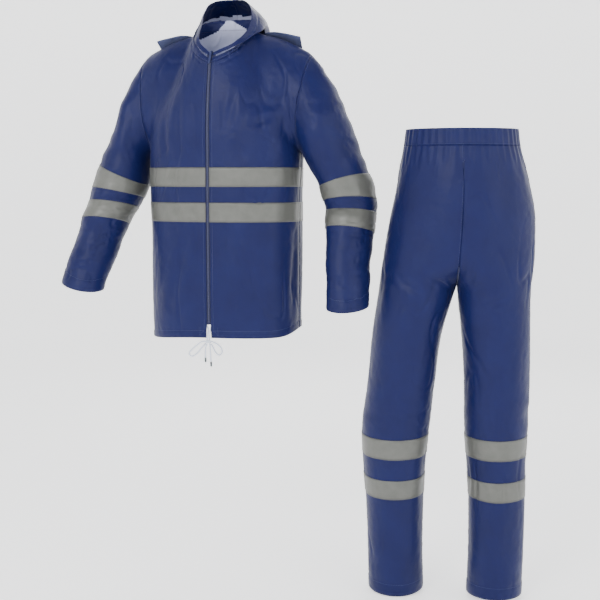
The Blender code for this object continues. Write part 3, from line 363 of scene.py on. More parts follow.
def sewn_skins(nodes, wall_of):
    """All the skins in one mesh, joined where their edges meet. A face's material number is its panel's."""
    whole = bmesh.new()
    for number, node in enumerate(nodes):
        skin = outer_skin(node, wall_of(node))
        for face in skin.faces:
            face.material_index = number
            face.smooth = True
        carrier = bpy.data.meshes.new("skin")
        skin.to_mesh(carrier)
        whole.from_mesh(carrier)
        skin.free()
        bpy.data.meshes.remove(carrier)
    edge_points = [v for v in whole.verts if v.is_boundary]
    bmesh.ops.remove_doubles(whole, verts=edge_points, dist=SEAM_REACH)
    return whole


def refined(mesh, levels):
    """The mesh after this many rounds of Subdivision Surface: points, faces, panel numbers, normals."""
    carrier = bpy.data.meshes.new("refined")
    mesh.to_mesh(carrier)
    mesh.free()
    piece = bpy.data.objects.new("refined", carrier)
    bpy.context.scene.collection.objects.link(piece)
    for _ in range(len({p.material_index for p in carrier.polygons})):
        carrier.materials.append(None)
    smoother = piece.modifiers.new("smooth", "SUBSURF")
    smoother.levels = smoother.render_levels = levels
    smoother.boundary_smooth = "PRESERVE_CORNERS"
    graph = bpy.context.evaluated_depsgraph_get()
    fine = bpy.data.meshes.new_from_object(piece.evaluated_get(graph))
    points = np.array([v.co for v in fine.vertices])
    faces = np.array([p.vertices[:] for p in fine.polygons])
    panels = np.array([p.material_index for p in fine.polygons])
    normals = np.array([n.vector for n in fine.vertex_normals])
    bpy.data.objects.remove(piece)
    bpy.data.meshes.remove(carrier)
    bpy.data.meshes.remove(fine)
    return points, faces, panels, normals


FINE = 3
jacket_skin = refined(sewn_skins(JACKET_PANELS, lambda node: CLOTH_WALL), FINE)
trouser_skin = refined(
    sewn_skins(TROUSER_PANELS, lambda node: CASING_WALL if node == "waistband" else CLOTH_WALL), FINE
)
print("jacket faces", len(jacket_skin[1]), "trouser faces", len(trouser_skin[1]))

# %% [markdown]
# ## Seams and open edges
# A maker sews panels right side to right side, so every seam is a narrow valley
# with small puckers. Open edges are turned in and stitched, so they end in a
# flat, slightly thicker band. Both follow from one list: the edges of the mesh
# that lie between two panels, or that have a face on one side only.

# %% Find seams and open edges
def special_edges(faces, panels):
    """Edges between two panels, and edges with one face, each with the face that it belongs to."""
    starts = faces.reshape(-1)
    ends = np.roll(faces, -1, axis=1).reshape(-1)
    owner = np.repeat(np.arange(len(faces)), faces.shape[1])
    key = np.sort(np.column_stack([starts, ends]), axis=1)
    order = np.lexsort((key[:, 1], key[:, 0]))
    key, owner = key[order], owner[order]
    same = (key[1:] == key[:-1]).all(axis=1)
    paired = np.zeros(len(key), bool)
    paired[1:] |= same
    paired[:-1] |= same
    firsts = np.nonzero(same)[0]
    across = firsts[panels[owner[firsts]] != panels[owner[firsts + 1]]]
    seams = [
        (*key[i], owner[i] if panels[owner[i]] > panels[owner[i + 1]] else owner[i + 1]) for i in across
    ]
    opens = [(*key[i], owner[i]) for i in np.nonzero(~paired)[0]]
    return seams, opens


def nearest_distance(points, marks):
    """How far each point is from the nearest mark, and which mark that is."""
    tree = KDTree(len(marks))
    for i, mark in enumerate(marks):
        tree.insert(mark, i)
    tree.balance()
    found = [tree.find(p)[1:] for p in points]
    return np.array([f[1] for f in found]), np.array([f[0] for f in found])


def soft_step(value, low, high):
    """0 below low, 1 above high, and a smooth rise between."""
    share = np.clip((value - low) / (high - low), 0, 1)
    return share * share * (3 - 2 * share)


def noise_at(points, size, seed):
    """Smooth noise at each point, with features of this size along x, y and z."""
    return np.array([noise.noise(p) for p in (points / size + seed).tolist()])


# %% [markdown]
# ## Folds and creases
# The largest folds are already in the model. What is left is what makes coated
# cloth look like cloth: long soft swells, sharp little crease lines where it was
# folded and worn, rings of creases at the elbows and knees, and puckers at the
# seams. Crease lines follow the places where a smooth noise crosses zero, which
# gives forked lines as crumpled cloth has. Named folds are placed where
# the photograph shows them. All of it is one height, added along the normal.

# %% Named folds
# Each fold has its start, its end, its width and its depth, in the garment's own frame.
FOLD_STRENGTH = 1.5
JACKET_FOLDS = {
    "chest_left_long": ((0.075, -0.130, -0.130), (0.050, -0.140, -0.245), 9 * MM, -2.6 * MM),
    "chest_left_slant": ((0.135, -0.110, -0.125), (0.185, -0.080, -0.100), 8 * MM, -2.4 * MM),
    "chest_left_low": ((0.110, -0.120, -0.235), (0.170, -0.090, -0.205), 8 * MM, -2.4 * MM),
    "chest_right_drop": ((-0.085, -0.130, -0.150), (-0.075, -0.135, -0.300), 10 * MM, -2.2 * MM),
    "chest_right_side": ((-0.130, -0.115, -0.170), (-0.115, -0.120, -0.320), 9 * MM, -2.4 * MM),
    "belly_left": ((0.060, -0.140, -0.500), (0.120, -0.120, -0.640), 12 * MM, -2.4 * MM),
    "belly_right": ((-0.060, -0.140, -0.520), (-0.110, -0.125, -0.680), 12 * MM, -2.4 * MM),
    "side_left": ((0.185, -0.030, -0.500), (0.175, -0.040, -0.700), 11 * MM, -2.6 * MM),
    "back_long_left": ((0.070, 0.140, -0.380), (0.090, 0.135, -0.640), 14 * MM, -2.8 * MM),
    "back_long_right": ((-0.090, 0.135, -0.360), (-0.070, 0.140, -0.700), 14 * MM, -2.8 * MM),
    "back_slant": ((0.000, 0.140, -0.480), (0.130, 0.125, -0.430), 12 * MM, -2.4 * MM),
}
TROUSER_FOLDS = {
    "crotch_right": ((-0.006, -0.118, -0.560), (0.000, -0.105, -0.640), 8 * MM, -3.4 * MM),
    "crotch_left": ((0.030, -0.120, -0.560), (0.004, -0.105, -0.640), 8 * MM, -3.2 * MM),
    "thigh_left_smile": ((0.030, -0.112, -0.665), (0.110, -0.112, -0.650), 9 * MM, -2.8 * MM),
    "thigh_right_smile": ((-0.165, -0.100, -0.600), (-0.085, -0.118, -0.650), 9 * MM, -3.0 * MM),
    "thigh_right_slant": ((-0.040, -0.105, -0.670), (-0.125, -0.108, -0.760), 9 * MM, -3.2 * MM),
    "thigh_right_second": ((-0.040, -0.100, -0.705), (-0.130, -0.105, -0.820), 9 * MM, -3.0 * MM),
    "thigh_right_short": ((-0.060, -0.105, -0.770), (-0.115, -0.105, -0.860), 9 * MM, -2.6 * MM),
    "shin_right": ((-0.160, -0.085, -1.180), (-0.150, -0.088, -1.360), 12 * MM, -2.8 * MM),
    "shin_left": ((0.090, -0.090, -1.170), (0.095, -0.090, -1.370), 12 * MM, -2.8 * MM),
    "seat_left_drop": ((0.070, 0.130, -0.460), (0.060, 0.132, -0.640), 13 * MM, -2.8 * MM),
    "seat_right_drop": ((-0.070, 0.130, -0.450), (-0.080, 0.130, -0.620), 13 * MM, -2.8 * MM),
    "calf_left": ((0.085, 0.085, -1.170), (0.080, 0.085, -1.360), 13 * MM, -2.6 * MM),
    "calf_right": ((-0.150, 0.080, -1.180), (-0.155, 0.080, -1.370), 13 * MM, -2.6 * MM),
}


def fold_height(points, folds):
    """How far the named folds push each point out (positive) or in, with a bulge on both sides."""
    height = np.zeros(len(points))
    for start, end, width, depth in folds.values():
        start, along = np.array(start), np.subtract(end, start)
        share = np.clip((points - start) @ along / (along @ along), 0, 1)
        away = np.linalg.norm(points - start - share[:, None] * along, axis=1)
        fade = 0.25 + 0.75 * np.sin(math.pi * np.clip(share, 0.08, 0.92))
        height += FOLD_STRENGTH * depth * fade * (np.exp(-((away / width) ** 2)) - 0.45 * np.exp(-(((away - 2 * width) / width) ** 2)))
    return height


SWELL_HEIGHT = 3.6 * MM
CREASE_DEPTH = 2.2 * MM
CRUMPLE_HEIGHT = 0.55 * MM
CRUMPLE_SIZE = 14 * MM
PATCH_SIZE = 160 * MM


def crease_lines(points, size, seed, thin):
    """Lines where a smooth noise crosses zero, from 0 to 1."""
    return np.exp(-((noise_at(points, size, seed) / thin) ** 2))


def worn_cloth(points, swell_size, ring_share, seed):
    """Height of swells and crease lines. ring_share is 1 where creases ring a sleeve or leg."""
    tall = np.array(swell_size)
    flat = np.array([tall[0] * 1.5, tall[1] * 1.5, tall[0] * 0.55])
    long_swells = noise_at(points, tall, seed)
    ring_swells = noise_at(points, flat, seed + 7)
    height = SWELL_HEIGHT * (long_swells * (1 - ring_share) + 1.2 * ring_swells * ring_share)
    where = soft_step(noise_at(points, np.full(3, PATCH_SIZE), seed + 3), -0.15, 0.35)
    long_lines = crease_lines(points, tall * 0.8, seed + 11, 0.06)
    ring_lines = crease_lines(points, flat * 0.8, seed + 17, 0.07)
    lines = long_lines * (1 - ring_share) + ring_lines * ring_share
    height -= CREASE_DEPTH * lines * (0.25 + where)
    return height + CRUMPLE_HEIGHT * noise_at(points, np.full(3, CRUMPLE_SIZE), seed + 23)


# %% Press the folds into a garment
PUCKER_SIZE = 9 * MM
SEAM_DEPTH, SEAM_WIDTH = 1.1 * MM, 2.6 * MM
HEM_RAISED = 0.6 * MM
STITCH_DEPTH, STITCH_WIDTH = 0.9 * MM, 3.0 * MM


def press(skin, place, folds, swell_size, ring_share, edge_band, calm, seed):
    """Moves every point of a sewn skin along its normal. Returns the new points and both edge lists."""
    points, faces, panels, normals = skin
    local = (points - np.array(place.translation)) @ np.array(place.to_3x3())
    seams, opens = special_edges(faces, panels)
    near_seam, _ = nearest_distance(points, [points[a] for a, _, _ in seams])
    open_marks = [a for a, _, _ in opens]
    near_open, which = nearest_distance(points, points[open_marks])
    band = edge_band(local[open_marks])[which]
    height = fold_height(local, folds) + worn_cloth(local, swell_size, ring_share(local), seed)
    height *= 0.35 + 0.65 * soft_step(near_seam, 2 * MM, 26 * MM)
    height *= 0.45 + 0.55 * soft_step(near_open, 5 * MM, 50 * MM)
    pucker = noise_at(local, np.full(3, PUCKER_SIZE), seed + 31)
    height += 0.9 * MM * pucker * np.exp(-((near_seam / (13 * MM)) ** 2))
    height -= SEAM_DEPTH * np.exp(-((near_seam / SEAM_WIDTH) ** 2))
    height += HEM_RAISED * (1 - soft_step(near_open, band - 3 * MM, band))
    height -= STITCH_DEPTH * np.exp(-(((near_open - band) / STITCH_WIDTH) ** 2))
    height += 0.7 * MM * pucker * np.exp(-(((near_open - band) / (12 * MM)) ** 2))
    height *= calm(local)
    return points + normals * height[:, None], seams, opens, near_open, band


CUFF_HEM, JACKET_HEM, ZIP_HEM, HOOD_HEM = 31 * MM, 18 * MM, 7 * MM, 20 * MM
TROUSER_HEM = 30 * MM


def jacket_rings(local):
    """1 on the lower sleeves, where creases ring the arm."""
    return soft_step(np.abs(local[:, 0]), 0.20, 0.26)


def trouser_rings(local):
    """Some ring creases round the knees and above the hems."""
    knee = np.exp(-(((local[:, 2] + 0.93) / 0.07) ** 2))
    return np.clip(0.75 * knee + 0.4 * soft_step(-local[:, 2], 1.25, 1.38), 0, 1)


def jacket_bands(local):
    """How wide the turned band is: cuffs, hem, zip edges, hood rim."""
    sleeve = np.abs(local[:, 0]) > 0.21
    hem = local[:, 2] < -0.735
    zip_side = (np.abs(local[:, 0]) < 0.012) & (local[:, 1] < -0.02)
    return np.select([sleeve, hem, zip_side], [CUFF_HEM, JACKET_HEM, ZIP_HEM], HOOD_HEM)


def trouser_bands(local):
    """Turned hems at the legs, and none above the waistband."""
    return np.where(local[:, 2] < -1.0, TROUSER_HEM, 2 * MM)


def calm_by_zip(local):
    """Little movement beside the zip and in the slit, so that nothing cuts the zip."""
    front = local[:, 1] < -0.02
    return np.where(front, 0.04 + 0.96 * soft_step(np.abs(local[:, 0]), 12 * MM, 34 * MM), 1.0)


def calm_waist(local):
    """Half movement in the waistband, whose gathers are in the model already."""
    return 0.45 + 0.55 * soft_step(-local[:, 2], 0.285, 0.40)


jacket_points, jacket_seams, jacket_opens, jacket_near, jacket_band = press(
    jacket_skin, JACKET_PLACE, JACKET_FOLDS, (0.060, 0.060, 0.190), jacket_rings, jacket_bands, calm_by_zip, 3.7
)
trouser_points, trouser_seams, trouser_opens, trouser_near, trouser_band = press(
    trouser_skin, TROUSERS_PLACE, TROUSER_FOLDS, (0.062, 0.062, 0.170), trouser_rings, trouser_bands, calm_waist, 9.1
)
print("seam edges", len(jacket_seams), len(trouser_seams), "open edges", len(jacket_opens), len(trouser_opens))

# %% [markdown]
# ## Cut the panels apart
# Each sewn piece is its own object again, with its own thickness, because a
# maker's seam is where two pieces meet. The pale uncoated face shows inside,
# but where an edge is turned in, the navy face shows inside too. Inside the
# hood that navy runs far past the hem, as painted shade.

# %% Panels
CUTS = {
    "jacket_front_left": ((0.36, 0.74), 0.190), "jacket_front_right": ((0.36, 0.74), 0.192),
    "jacket_back": ((0.66, 0.76), 0.391), "sleeve_left": ((0.50, 0.62), 0.225),
    "sleeve_right": ((0.48, 0.60), 0.2015), "hood_left": ((0.30, 0.38), 0.079),
    "hood_right": ((0.30, 0.38), 0.073), "yoke_flap": ((0.46, 0.24), 0.081),
    "trouser_front_left": ((0.34, 1.18), 0.289), "trouser_front_right": ((0.34, 1.18), 0.297),
    "trouser_back_left": ((0.34, 1.18), 0.295), "trouser_back_right": ((0.34, 1.18), 0.298),
    "waistband": ((1.00, 0.038), 0.037),
}


def mesh_piece(name, points, faces, materials, slots=None):
    """A smooth mesh object at the origin."""
    data = bpy.data.meshes.new(name)
    data.from_pydata(points.tolist(), [], faces.tolist())
    data.polygons.foreach_set("use_smooth", [True] * len(faces))
    for material in materials:
        data.materials.append(material)
    if slots is not None:
        data.polygons.foreach_set("material_index", slots)
    data.update()
    piece = bpy.data.objects.new(name, data)
    bpy.context.scene.collection.objects.link(piece)
    return piece


def give_thickness(piece, thickness, inside):
    """A wall behind the skin, whose inner face takes the next material."""
    wall = piece.modifiers.new("thickness", "SOLIDIFY")
    wall.thickness = thickness
    wall.offset = -1
    wall.material_offset = inside


def finish_sheet(piece, node, flat, area, held, rests_on, slot):
    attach(piece, "suit")
    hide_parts(node)


CLOTH_THICKNESS = 0.9 * MM
# How far navy shows inside from the hood's rim: the 20 mm turned hem, widened as painted shade inside the hood.
HOOD_HEM_AND_PAINTED_SHADE_BAND = 60 * MM


def cut_panel(name, number, points, faces, panels, near_open, turned, thickness):
    """One sewn piece out of a pressed garment."""
    mine = faces[panels == number]
    used, renumbered = np.unique(mine, return_inverse=True)
    mine = renumbered.reshape(mine.shape)
    # Navy inside along turned edges; inside the hood it runs on as painted shade.
    navy_inside_and_painted_shade = near_open[used][mine].mean(axis=1) < turned[used][mine].mean(axis=1)
    slots = np.where(navy_inside_and_painted_shade, 2, 0)
    piece = mesh_piece("cloth_" + name, points[used], mine, (navy_cloth, pale_lining, navy_cloth, navy_cloth), slots)
    give_thickness(piece, thickness, 1)
    flat, area = CUTS[name]
    held = "gathered" if name == "waistband" else "hung"
    finish_sheet(piece, name, flat, area, held, [], "navy_cloth")
    return piece


# The hood rim's turned band is widened here to paint the shade inside the hood.
jacket_turned_and_painted_shade = np.where(np.abs(jacket_band - HOOD_HEM) < 0.01 * MM, HOOD_HEM_AND_PAINTED_SHADE_BAND, jacket_band)
for number, name in enumerate(JACKET_PANELS):
    cut_panel(
        name, number, jacket_points, jacket_skin[1], jacket_skin[2], jacket_near, jacket_turned_and_painted_shade, CLOTH_THICKNESS
    )
for number, name in enumerate(TROUSER_PANELS):
    thickness = 2.4 * MM if name == "waistband" else CLOTH_THICKNESS
    turned = np.full(len(trouser_points), 1.0) if name == "waistband" else trouser_band
    cut_panel(
        name, number, trouser_points, trouser_skin[1], trouser_skin[2], trouser_near, turned, thickness
    )
print("panels cut:", len(JACKET_PANELS) + len(TROUSER_PANELS))

# %% [markdown]
# ## Yoke flap
# A loose flap hangs over the upper back and lifts a little at its lower edge. It
# is refined and pressed on its own, with the same noise as the jacket, so that
# it follows the back below it.

# %% Yoke flap
flap_skin = refined(sewn_skins(("yoke_flap",), lambda node: CLOTH_WALL), FINE)
flap_local = flap_skin[0] @ np.array(JACKET_PLACE.to_3x3())
_, flap_opens = special_edges(flap_skin[1], flap_skin[2])
flap_near, _ = nearest_distance(flap_skin[0], [flap_skin[0][a] for a, _, _ in flap_opens])
flap_height = 0.5 * worn_cloth(flap_local, (0.060, 0.060, 0.190), jacket_rings(flap_local), 3.7)
flap_height -= 0.8 * MM * np.exp(-(((flap_near - 14 * MM) / (3 * MM)) ** 2))
flap_points = flap_skin[0] + flap_skin[3] * flap_height[:, None]
# Its inside face takes the darker copy of the pale inside, as painted shade.
flap = mesh_piece("cloth_yoke_flap", flap_points, flap_skin[1], (navy_cloth, flap_underside_painted_shade))
give_thickness(flap, CLOTH_THICKNESS, 1)
finish_sheet(flap, "yoke_flap", *CUTS["yoke_flap"], "hung", ["cloth_jacket_back"], "navy_cloth")
print("flap faces", len(flap_skin[1]))

# %% [markdown]
# ## Reflective tapes
# A tape is sewn flat onto the cloth and takes every fold of it. So each tape is
# refined, and its points are then put on the nearest place of the pressed cloth,
# a little above it.

# %% Reflective tapes
TAPE_ABOVE = 1.1 * MM
TAPE_THICKNESS = 0.7 * MM
TAPE_CUTS = {
    "front": ((0.28, 0.0485), 0.0134), "back": ((0.55, 0.0485), 0.0265),
    "upper_sleeve": ((0.46, 0.0485), 0.0222), "lower_sleeve": ((0.43, 0.0480), 0.0197),
    "upper_leg": ((0.54, 0.0500), 0.0266), "lower_leg": ((0.50, 0.0500), 0.0249),
}
surfaces = {
    "jacket": BVHTree.FromPolygons(jacket_points.tolist(), jacket_skin[1].tolist()),
    "trousers": BVHTree.FromPolygons(trouser_points.tolist(), trouser_skin[1].tolist()),
}


def on_cloth(points, surface, above):
    """Each point moved to the nearest place on the cloth, and lifted off it."""
    moved = []
    for point in points.tolist():
        place, normal, _, _ = surface.find_nearest(point)
        moved.append(place + normal * above)
    return np.array(moved)


def cloth_under(name):
    """Which cloth piece a tape is sewn to."""
    for word, cloth in (
        ("front_left", "cloth_jacket_front_left"), ("front_right", "cloth_jacket_front_right"),
        ("back", "cloth_jacket_back"), ("sleeve_left", "cloth_sleeve_left"),
        ("sleeve_right", "cloth_sleeve_right"), ("leg_left", "cloth_trouser_front_left"),
        ("leg_right", "cloth_trouser_front_right"),
    ):
        if word in name:
            return cloth


tape_edges = {}
for name in sorted(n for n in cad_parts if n.startswith("tape_")):
    points, faces, panels, _ = refined(sewn_skins((name,), lambda node: TAPE_WALL), FINE)
    garment = "trousers" if "leg" in name else "jacket"
    points = on_cloth(points, surfaces[garment], TAPE_ABOVE)
    tape = mesh_piece("bead_" + name, points, faces, (grey_tape,))
    give_thickness(tape, TAPE_THICKNESS, 0)
    cut = next(v for k, v in TAPE_CUTS.items() if all(word in name for word in k.split("_")))
    finish_sheet(tape, name, *cut, "laid", [cloth_under(name)], "grey_tape")
    tape_edges[name] = (points, faces, special_edges(faces, panels)[1])
print("tapes:", len(tape_edges))

# %% [markdown]
# ## Stitches
# Lockstitch shows as a row of short dashes. Each row starts as a line beside an
# edge or a seam, laid on the cloth. A Geometry Nodes tree walks along it and sets
# one stitch at each step, then makes them real, because loose copies are dropped
# when the suit is exported. A real stitch is 3 mm long and 0.4 mm thick, and it
# is drawn slightly thicker, or it wouldn't show.

# %% Rows of stitches
STITCH_PITCH = 4.2 * MM
STITCH_LENGTH = 3.0 * MM
STITCH_RADIUS = 0.42 * MM


def chains(edges):
    """Edges put in order, as lists of point numbers."""
    beside = {}
    for a, b, _ in edges:
        beside.setdefault(a, []).append(b)
        beside.setdefault(b, []).append(a)
    used, found = set(), []
    starts = [p for p in beside if len(beside[p]) != 2] + list(beside)
    for start in starts:
        for first in beside[start]:
            if frozenset((start, first)) in used:
                continue
            chain = [start]
            here, ahead = start, first
            while ahead is not None:
                used.add(frozenset((here, ahead)))
                chain.append(ahead)
                here, ahead = ahead, next(
                    (p for p in beside[ahead] if frozenset((ahead, p)) not in used), None
                )
            found.append(chain)
    return found


def row_beside(points, faces, edges, distance, surface, above):
    """Lines on the cloth at this distance from the edges, on the side of each edge's own face."""
    inward = {}
    for a, b, face in edges:
        along = points[b] - points[a]
        along /= max(np.linalg.norm(along), 1e-9)
        to_face = points[faces[face]].mean(axis=0) - (points[a] + points[b]) / 2
        to_face -= along * (to_face @ along)
        for end in (a, b):
            inward.setdefault(end, []).append(to_face / max(np.linalg.norm(to_face), 1e-9))
    rows = []
    for chain in chains(edges):
        if len(chain) < 4:
            continue
        ways = np.array([np.mean(inward[p], axis=0) for p in chain])
        ways /= np.linalg.norm(ways, axis=1)[:, None].clip(1e-9)
        rows.append(on_cloth(points[chain] + ways * distance, surface, above))
    return rows


def stitch_tree(thread):
    """Geometry Nodes: a dash at each step along the lines, made real."""
    tree = bpy.data.node_groups.new("stitches", "GeometryNodeTree")
    tree.interface.new_socket("Lines", in_out="INPUT", socket_type="NodeSocketGeometry")
    for name in ("Pitch", "Length", "Radius"):
        tree.interface.new_socket(name, in_out="INPUT", socket_type="NodeSocketFloat")
    tree.interface.new_socket("Stitches", in_out="OUTPUT", socket_type="NodeSocketGeometry")
    given = add_node(tree, "NodeGroupInput")
    curve = add_node(tree, "GeometryNodeMeshToCurve", inputs={"Mesh": given.outputs["Lines"]})
    steps = add_node(
        tree,
        "GeometryNodeResampleCurve",
        {"mode": "LENGTH"},
        {"Curve": curve.outputs["Curve"], "Length": given.outputs["Pitch"]},
    )
    dash = add_node(
        tree,
        "GeometryNodeMeshCylinder",
        {"fill_type": "TRIANGLE_FAN"},
        {"Vertices": 5, "Radius": given.outputs["Radius"], "Depth": given.outputs["Length"]},
    )
    turn = add_node(
        tree,
        "FunctionNodeAlignRotationToVector",
        {"axis": "Z"},
        {"Vector": add_node(tree, "GeometryNodeInputTangent").outputs["Tangent"]},
    )
    placed = add_node(
        tree,
        "GeometryNodeInstanceOnPoints",
        inputs={
            "Points": steps.outputs["Curve"],
            "Instance": dash.outputs["Mesh"],
            "Rotation": turn.outputs["Rotation"],
        },
    )
    real = add_node(tree, "GeometryNodeRealizeInstances", inputs={"Geometry": placed.outputs["Instances"]})
    painted = add_node(
        tree, "GeometryNodeSetMaterial", inputs={"Geometry": real.outputs["Geometry"], "Material": thread}
    )
    add_node(tree, "NodeGroupOutput", inputs={0: painted.outputs["Geometry"]})
    return tree


def run_tree(name, carrier_mesh, tree, values, material):
    """Runs a Geometry Nodes tree on a mesh and keeps the result as a plain piece that rides on the suit."""
    carrier = bpy.data.objects.new("carrier", carrier_mesh)
    bpy.context.scene.collection.objects.link(carrier)
    runner = carrier.modifiers.new("repeat", "NODES")
    runner.node_group = tree
    for item in tree.interface.items_tree:
        if item.in_out == "INPUT" and item.name in values:
            runner[item.identifier] = values[item.name]
    graph = bpy.context.evaluated_depsgraph_get()
    made = bpy.data.meshes.new_from_object(carrier.evaluated_get(graph))
    bpy.data.objects.remove(carrier)
    made.materials.clear()
    made.materials.append(material)
    piece = bpy.data.objects.new(name, made)
    bpy.context.scene.collection.objects.link(piece)
    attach(piece, "suit")
    print(f"{name}: {len(made.polygons)} faces")
    return piece


def lines_mesh(rows):
    """Rows of points as one mesh of edges."""
    points, edges = [], []
    for row in rows:
        first = len(points)
        points += [tuple(p) for p in row]
        edges += [(first + i, first + i + 1) for i in range(len(row) - 1)]
    mesh = bpy.data.meshes.new("lines")
    mesh.from_pydata(points, edges, [])
    return mesh


STITCH_SIZES = {"Pitch": STITCH_PITCH, "Length": STITCH_LENGTH, "Radius": STITCH_RADIUS}


def sew_rows(name, rows, thread):
    """One piece with all the stitches of these rows."""
    piece = run_tree(name, lines_mesh(rows), stitch_tree(thread), STITCH_SIZES, thread)


def garment_rows(points, faces, seams, opens, place, bands, surface):
    """Stitch rows of a garment: one beside each seam, and one above each turned edge."""
    rows = row_beside(points, faces, seams, 2.6 * MM, surface, 0.15 * MM)
    marks = np.array([a for a, _, _ in opens])
    local = (points[marks] - np.array(place.translation)) @ np.array(place.to_3x3())
    widths = bands(local)
    for width in np.unique(widths):
        if width > 5 * MM:
            chosen = [edge for edge, w in zip(opens, widths) if w == width]
            rows += row_beside(points, faces, chosen, width, surface, 0.15 * MM)
    return rows


sew_rows(
    "jacket_stitches",
    garment_rows(
        jacket_points, jacket_skin[1], jacket_seams, jacket_opens, JACKET_PLACE, jacket_bands, surfaces["jacket"]
    ),
    sewing_thread,
)
sew_rows(
    "trouser_stitches",
    garment_rows(
        trouser_points, trouser_skin[1], trouser_seams, trouser_opens, TROUSERS_PLACE, trouser_bands,
        surfaces["trousers"],
    ),
    sewing_thread,
)
tape_rows = {"jacket": [], "trousers": []}
for name, (points, faces, edges) in tape_edges.items():
    own = BVHTree.FromPolygons(points.tolist(), faces.tolist())
    tape_rows["trousers" if "leg" in name else "jacket"] += row_beside(
        points, faces, edges, 2.2 * MM, own, 0.12 * MM
    )
for garment, rows in tape_rows.items():
    sew_rows(f"tape_stitches_{garment}", rows, tape_thread)

# %% [markdown]
# ## Zip
# The model's zip gives the ribbon and the place of the chain. The teeth are a
# moulded chain: small blocks that lean left and right in turn. They follow the
# zip's middle line, so a Geometry Nodes tree sets them, and the line is read
# from the model's own points.

# %% Zip teeth
CHAIN_HALF = 2.9 * MM
TOOTH_PITCH = 1.6 * MM
TOOTH_SIZE = (2.9 * MM, 0.9 * MM, 1.0 * MM)


def zip_middle_line():
    """Points up the middle of the chain, on its outer face."""
    turned = np.array(JACKET_PLACE.to_3x3())
    points = np.unique(np.array([v.co[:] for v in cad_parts["zip"].data.vertices]).round(6), axis=0) @ turned
    side = points[np.abs(points[:, 0] - CHAIN_HALF) < 0.3 * MM]
    side = side[np.argsort(side[:, 2])]
    pairs = side[: len(side) // 2 * 2].reshape(-1, 2, 3)
    front = np.array([pair[np.argmin(pair[:, 1])] for pair in pairs])
    front[:, 0] = 0
    return front @ turned.T


def teeth_tree():
    """Geometry Nodes: a tooth at each step, leaning to one side and then the other, made real."""
    tree = bpy.data.node_groups.new("zip_teeth", "GeometryNodeTree")
    tree.interface.new_socket("Line", in_out="INPUT", socket_type="NodeSocketGeometry")
    tree.interface.new_socket("Pitch", in_out="INPUT", socket_type="NodeSocketFloat")
    tree.interface.new_socket("Lean", in_out="INPUT", socket_type="NodeSocketFloat")
    tree.interface.new_socket("Teeth", in_out="OUTPUT", socket_type="NodeSocketGeometry")
    given = add_node(tree, "NodeGroupInput")
    curve = add_node(tree, "GeometryNodeMeshToCurve", inputs={"Mesh": given.outputs["Line"]})
    steps = add_node(
        tree,
        "GeometryNodeResampleCurve",
        {"mode": "LENGTH"},
        {"Curve": curve.outputs["Curve"], "Length": given.outputs["Pitch"]},
    )
    tooth = add_node(tree, "GeometryNodeMeshCube", inputs={"Size": TOOTH_SIZE})
    number = add_node(tree, "GeometryNodeInputIndex")
    odd = add_node(tree, "ShaderNodeMath", {"operation": "MODULO"}, {0: number.outputs["Index"], 1: 2.0})
    side = add_node(
        tree, "ShaderNodeMath", {"operation": "MULTIPLY_ADD"}, {0: odd.outputs["Value"], 1: 2.0, 2: -1.0}
    )
    lean = add_node(
        tree, "ShaderNodeMath", {"operation": "MULTIPLY"}, {0: side.outputs["Value"], 1: given.outputs["Lean"]}
    )
    shift = add_node(tree, "ShaderNodeCombineXYZ", inputs={"X": lean.outputs["Value"]})
    turn = add_node(
        tree, "FunctionNodeAxisAngleToRotation", inputs={"Axis": (0, 0, 1), "Angle": math.radians(-17)}
    )
    placed = add_node(
        tree,
        "GeometryNodeInstanceOnPoints",
        inputs={
            "Points": steps.outputs["Curve"],
            "Instance": tooth.outputs["Mesh"],
            "Rotation": turn.outputs["Rotation"],
        },
    )
    moved = add_node(
        tree,
        "GeometryNodeTranslateInstances",
        inputs={"Instances": placed.outputs["Instances"], "Translation": shift.outputs["Vector"]},
    )
    real = add_node(tree, "GeometryNodeRealizeInstances", inputs={"Geometry": moved.outputs["Instances"]})
    painted = add_node(
        tree,
        "GeometryNodeSetMaterial",
        inputs={"Geometry": real.outputs["Geometry"], "Material": zip_plastic},
    )
    add_node(tree, "NodeGroupOutput", inputs={0: painted.outputs["Geometry"]})
    return tree


teeth = run_tree(
    "zip_teeth", lines_mesh([zip_middle_line()]), teeth_tree(), {"Pitch": TOOTH_PITCH, "Lean": 0.8 * MM}, zip_plastic
)

# %% [markdown]
# ## Parts that keep their model shape
# The zip ribbon, the slider and its pull tab, the knot and the moulded cord ends
# are already shaped as they should be, so they only get their real finish.

# %% Finishes for model parts
MODEL_FINISHES = {
    "zip": zip_ribbon,
    "zip_slider": slider_paint,
    "zip_pull_tab": slider_paint,
    "cord_knot": braided_cord,
    "cord_tip_left": cord_end,
    "cord_tip_right": cord_end,
}
for node, finish in MODEL_FINISHES.items():
    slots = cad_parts[node].material_slots
    for slot in slots:
        slot.material = finish
    print(node, "slots:", len(slots))

# %% [markdown]
# ## Studio
# The photograph has a white ground and soft light from the front. A pale floor
# that curves up behind the suit gives that ground, and large soft lights keep
# the shadows weak but let the folds show.

# %% Floor and backdrop
FLOOR_HEIGHT = cad_low[2] - 0.002
FLOOR_RADIUS = 5.5
CURVE_RADIUS = 2.5
WALL_HEIGHT = 7.0


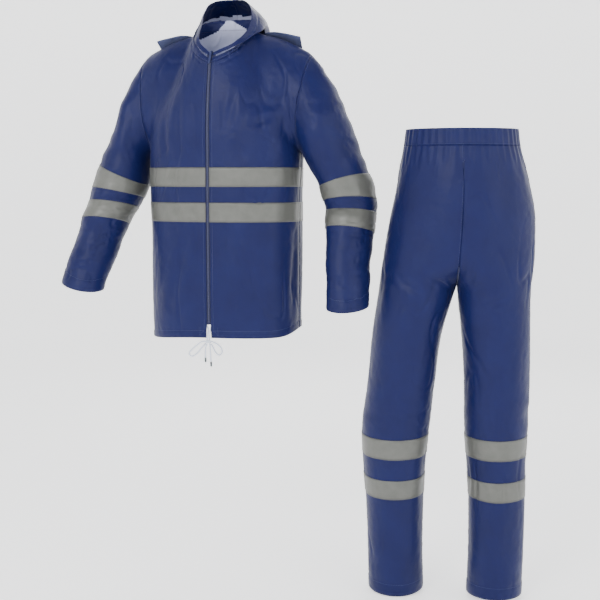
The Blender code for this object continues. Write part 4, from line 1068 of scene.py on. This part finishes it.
def studio_floor():
    """A round floor that curves up into a wall on all sides, so that every view has the same ground."""
    profile = [(0.0, 0.0), (FLOOR_RADIUS, 0.0)]
    profile += [
        (FLOOR_RADIUS + CURVE_RADIUS * math.sin(a), CURVE_RADIUS * (1 - math.cos(a)))
        for a in np.linspace(0.1, math.pi / 2, 12)
    ]
    profile += [(FLOOR_RADIUS + CURVE_RADIUS, WALL_HEIGHT)]
    bowl = bmesh.new()
    ring = [bowl.verts.new((r, 0, FLOOR_HEIGHT + z)) for r, z in profile]
    edges = [bowl.edges.new(pair) for pair in zip(ring[:-1], ring[1:])]
    bmesh.ops.spin(
        bowl, geom=ring + edges, axis=(0, 0, 1), cent=(0, 0, 0), angle=2 * math.pi, steps=96
    )
    bmesh.ops.remove_doubles(bowl, verts=bowl.verts, dist=0.001)
    bmesh.ops.recalc_face_normals(bowl, faces=bowl.faces)
    data = bpy.data.meshes.new("studio_floor")
    bowl.to_mesh(data)
    bowl.free()
    data.polygons.foreach_set("use_smooth", [True] * len(data.polygons))
    material, _, shader = start_material("pale_studio_floor", base_color=colour("#f4f4f4"), roughness=0.9)
    shader.inputs["Emission Color"].default_value = colour("#ffffff")
    shader.inputs["Emission Strength"].default_value = 0.85
    data.materials.append(material)
    floor = bpy.data.objects.new("studio_floor", data)
    bpy.context.scene.collection.objects.link(floor)
    return floor


studio_floor()

# %% Lights
SOFT_LIGHTS = {
    # name: (place, aims at, size in metres, watts)
    "key_light": ((-1.1, -3.0, 1.3), (0.15, 0.0, -0.6), 1.4, 72),
    "fill_light": ((2.6, -2.4, 0.4), (0.2, 0.0, -0.7), 1.6, 20),
    "top_light": ((0.2, 0.4, 2.4), (0.2, 0.0, -0.4), 2.4, 26),
    "back_light": ((0.8, 3.0, 1.2), (0.2, 0.0, -0.6), 1.6, 36),
}


def add_light(name, place, target, size, watts):
    data = bpy.data.lights.new(name, "AREA")
    data.size = size
    data.energy = watts
    lamp = bpy.data.objects.new(name, data)
    lamp.location = place
    lamp.rotation_euler = (Vector(target) - Vector(place)).to_track_quat("-Z", "Y").to_euler()
    bpy.context.scene.collection.objects.link(lamp)


for name, values in SOFT_LIGHTS.items():
    add_light(name, *values)

world = bpy.data.worlds.new("studio_world")
world.use_nodes = True
world.node_tree.nodes["Background"].inputs["Color"].default_value = colour("#f6f8ff")
world.node_tree.nodes["Background"].inputs["Strength"].default_value = 0.55
bpy.context.scene.world = world
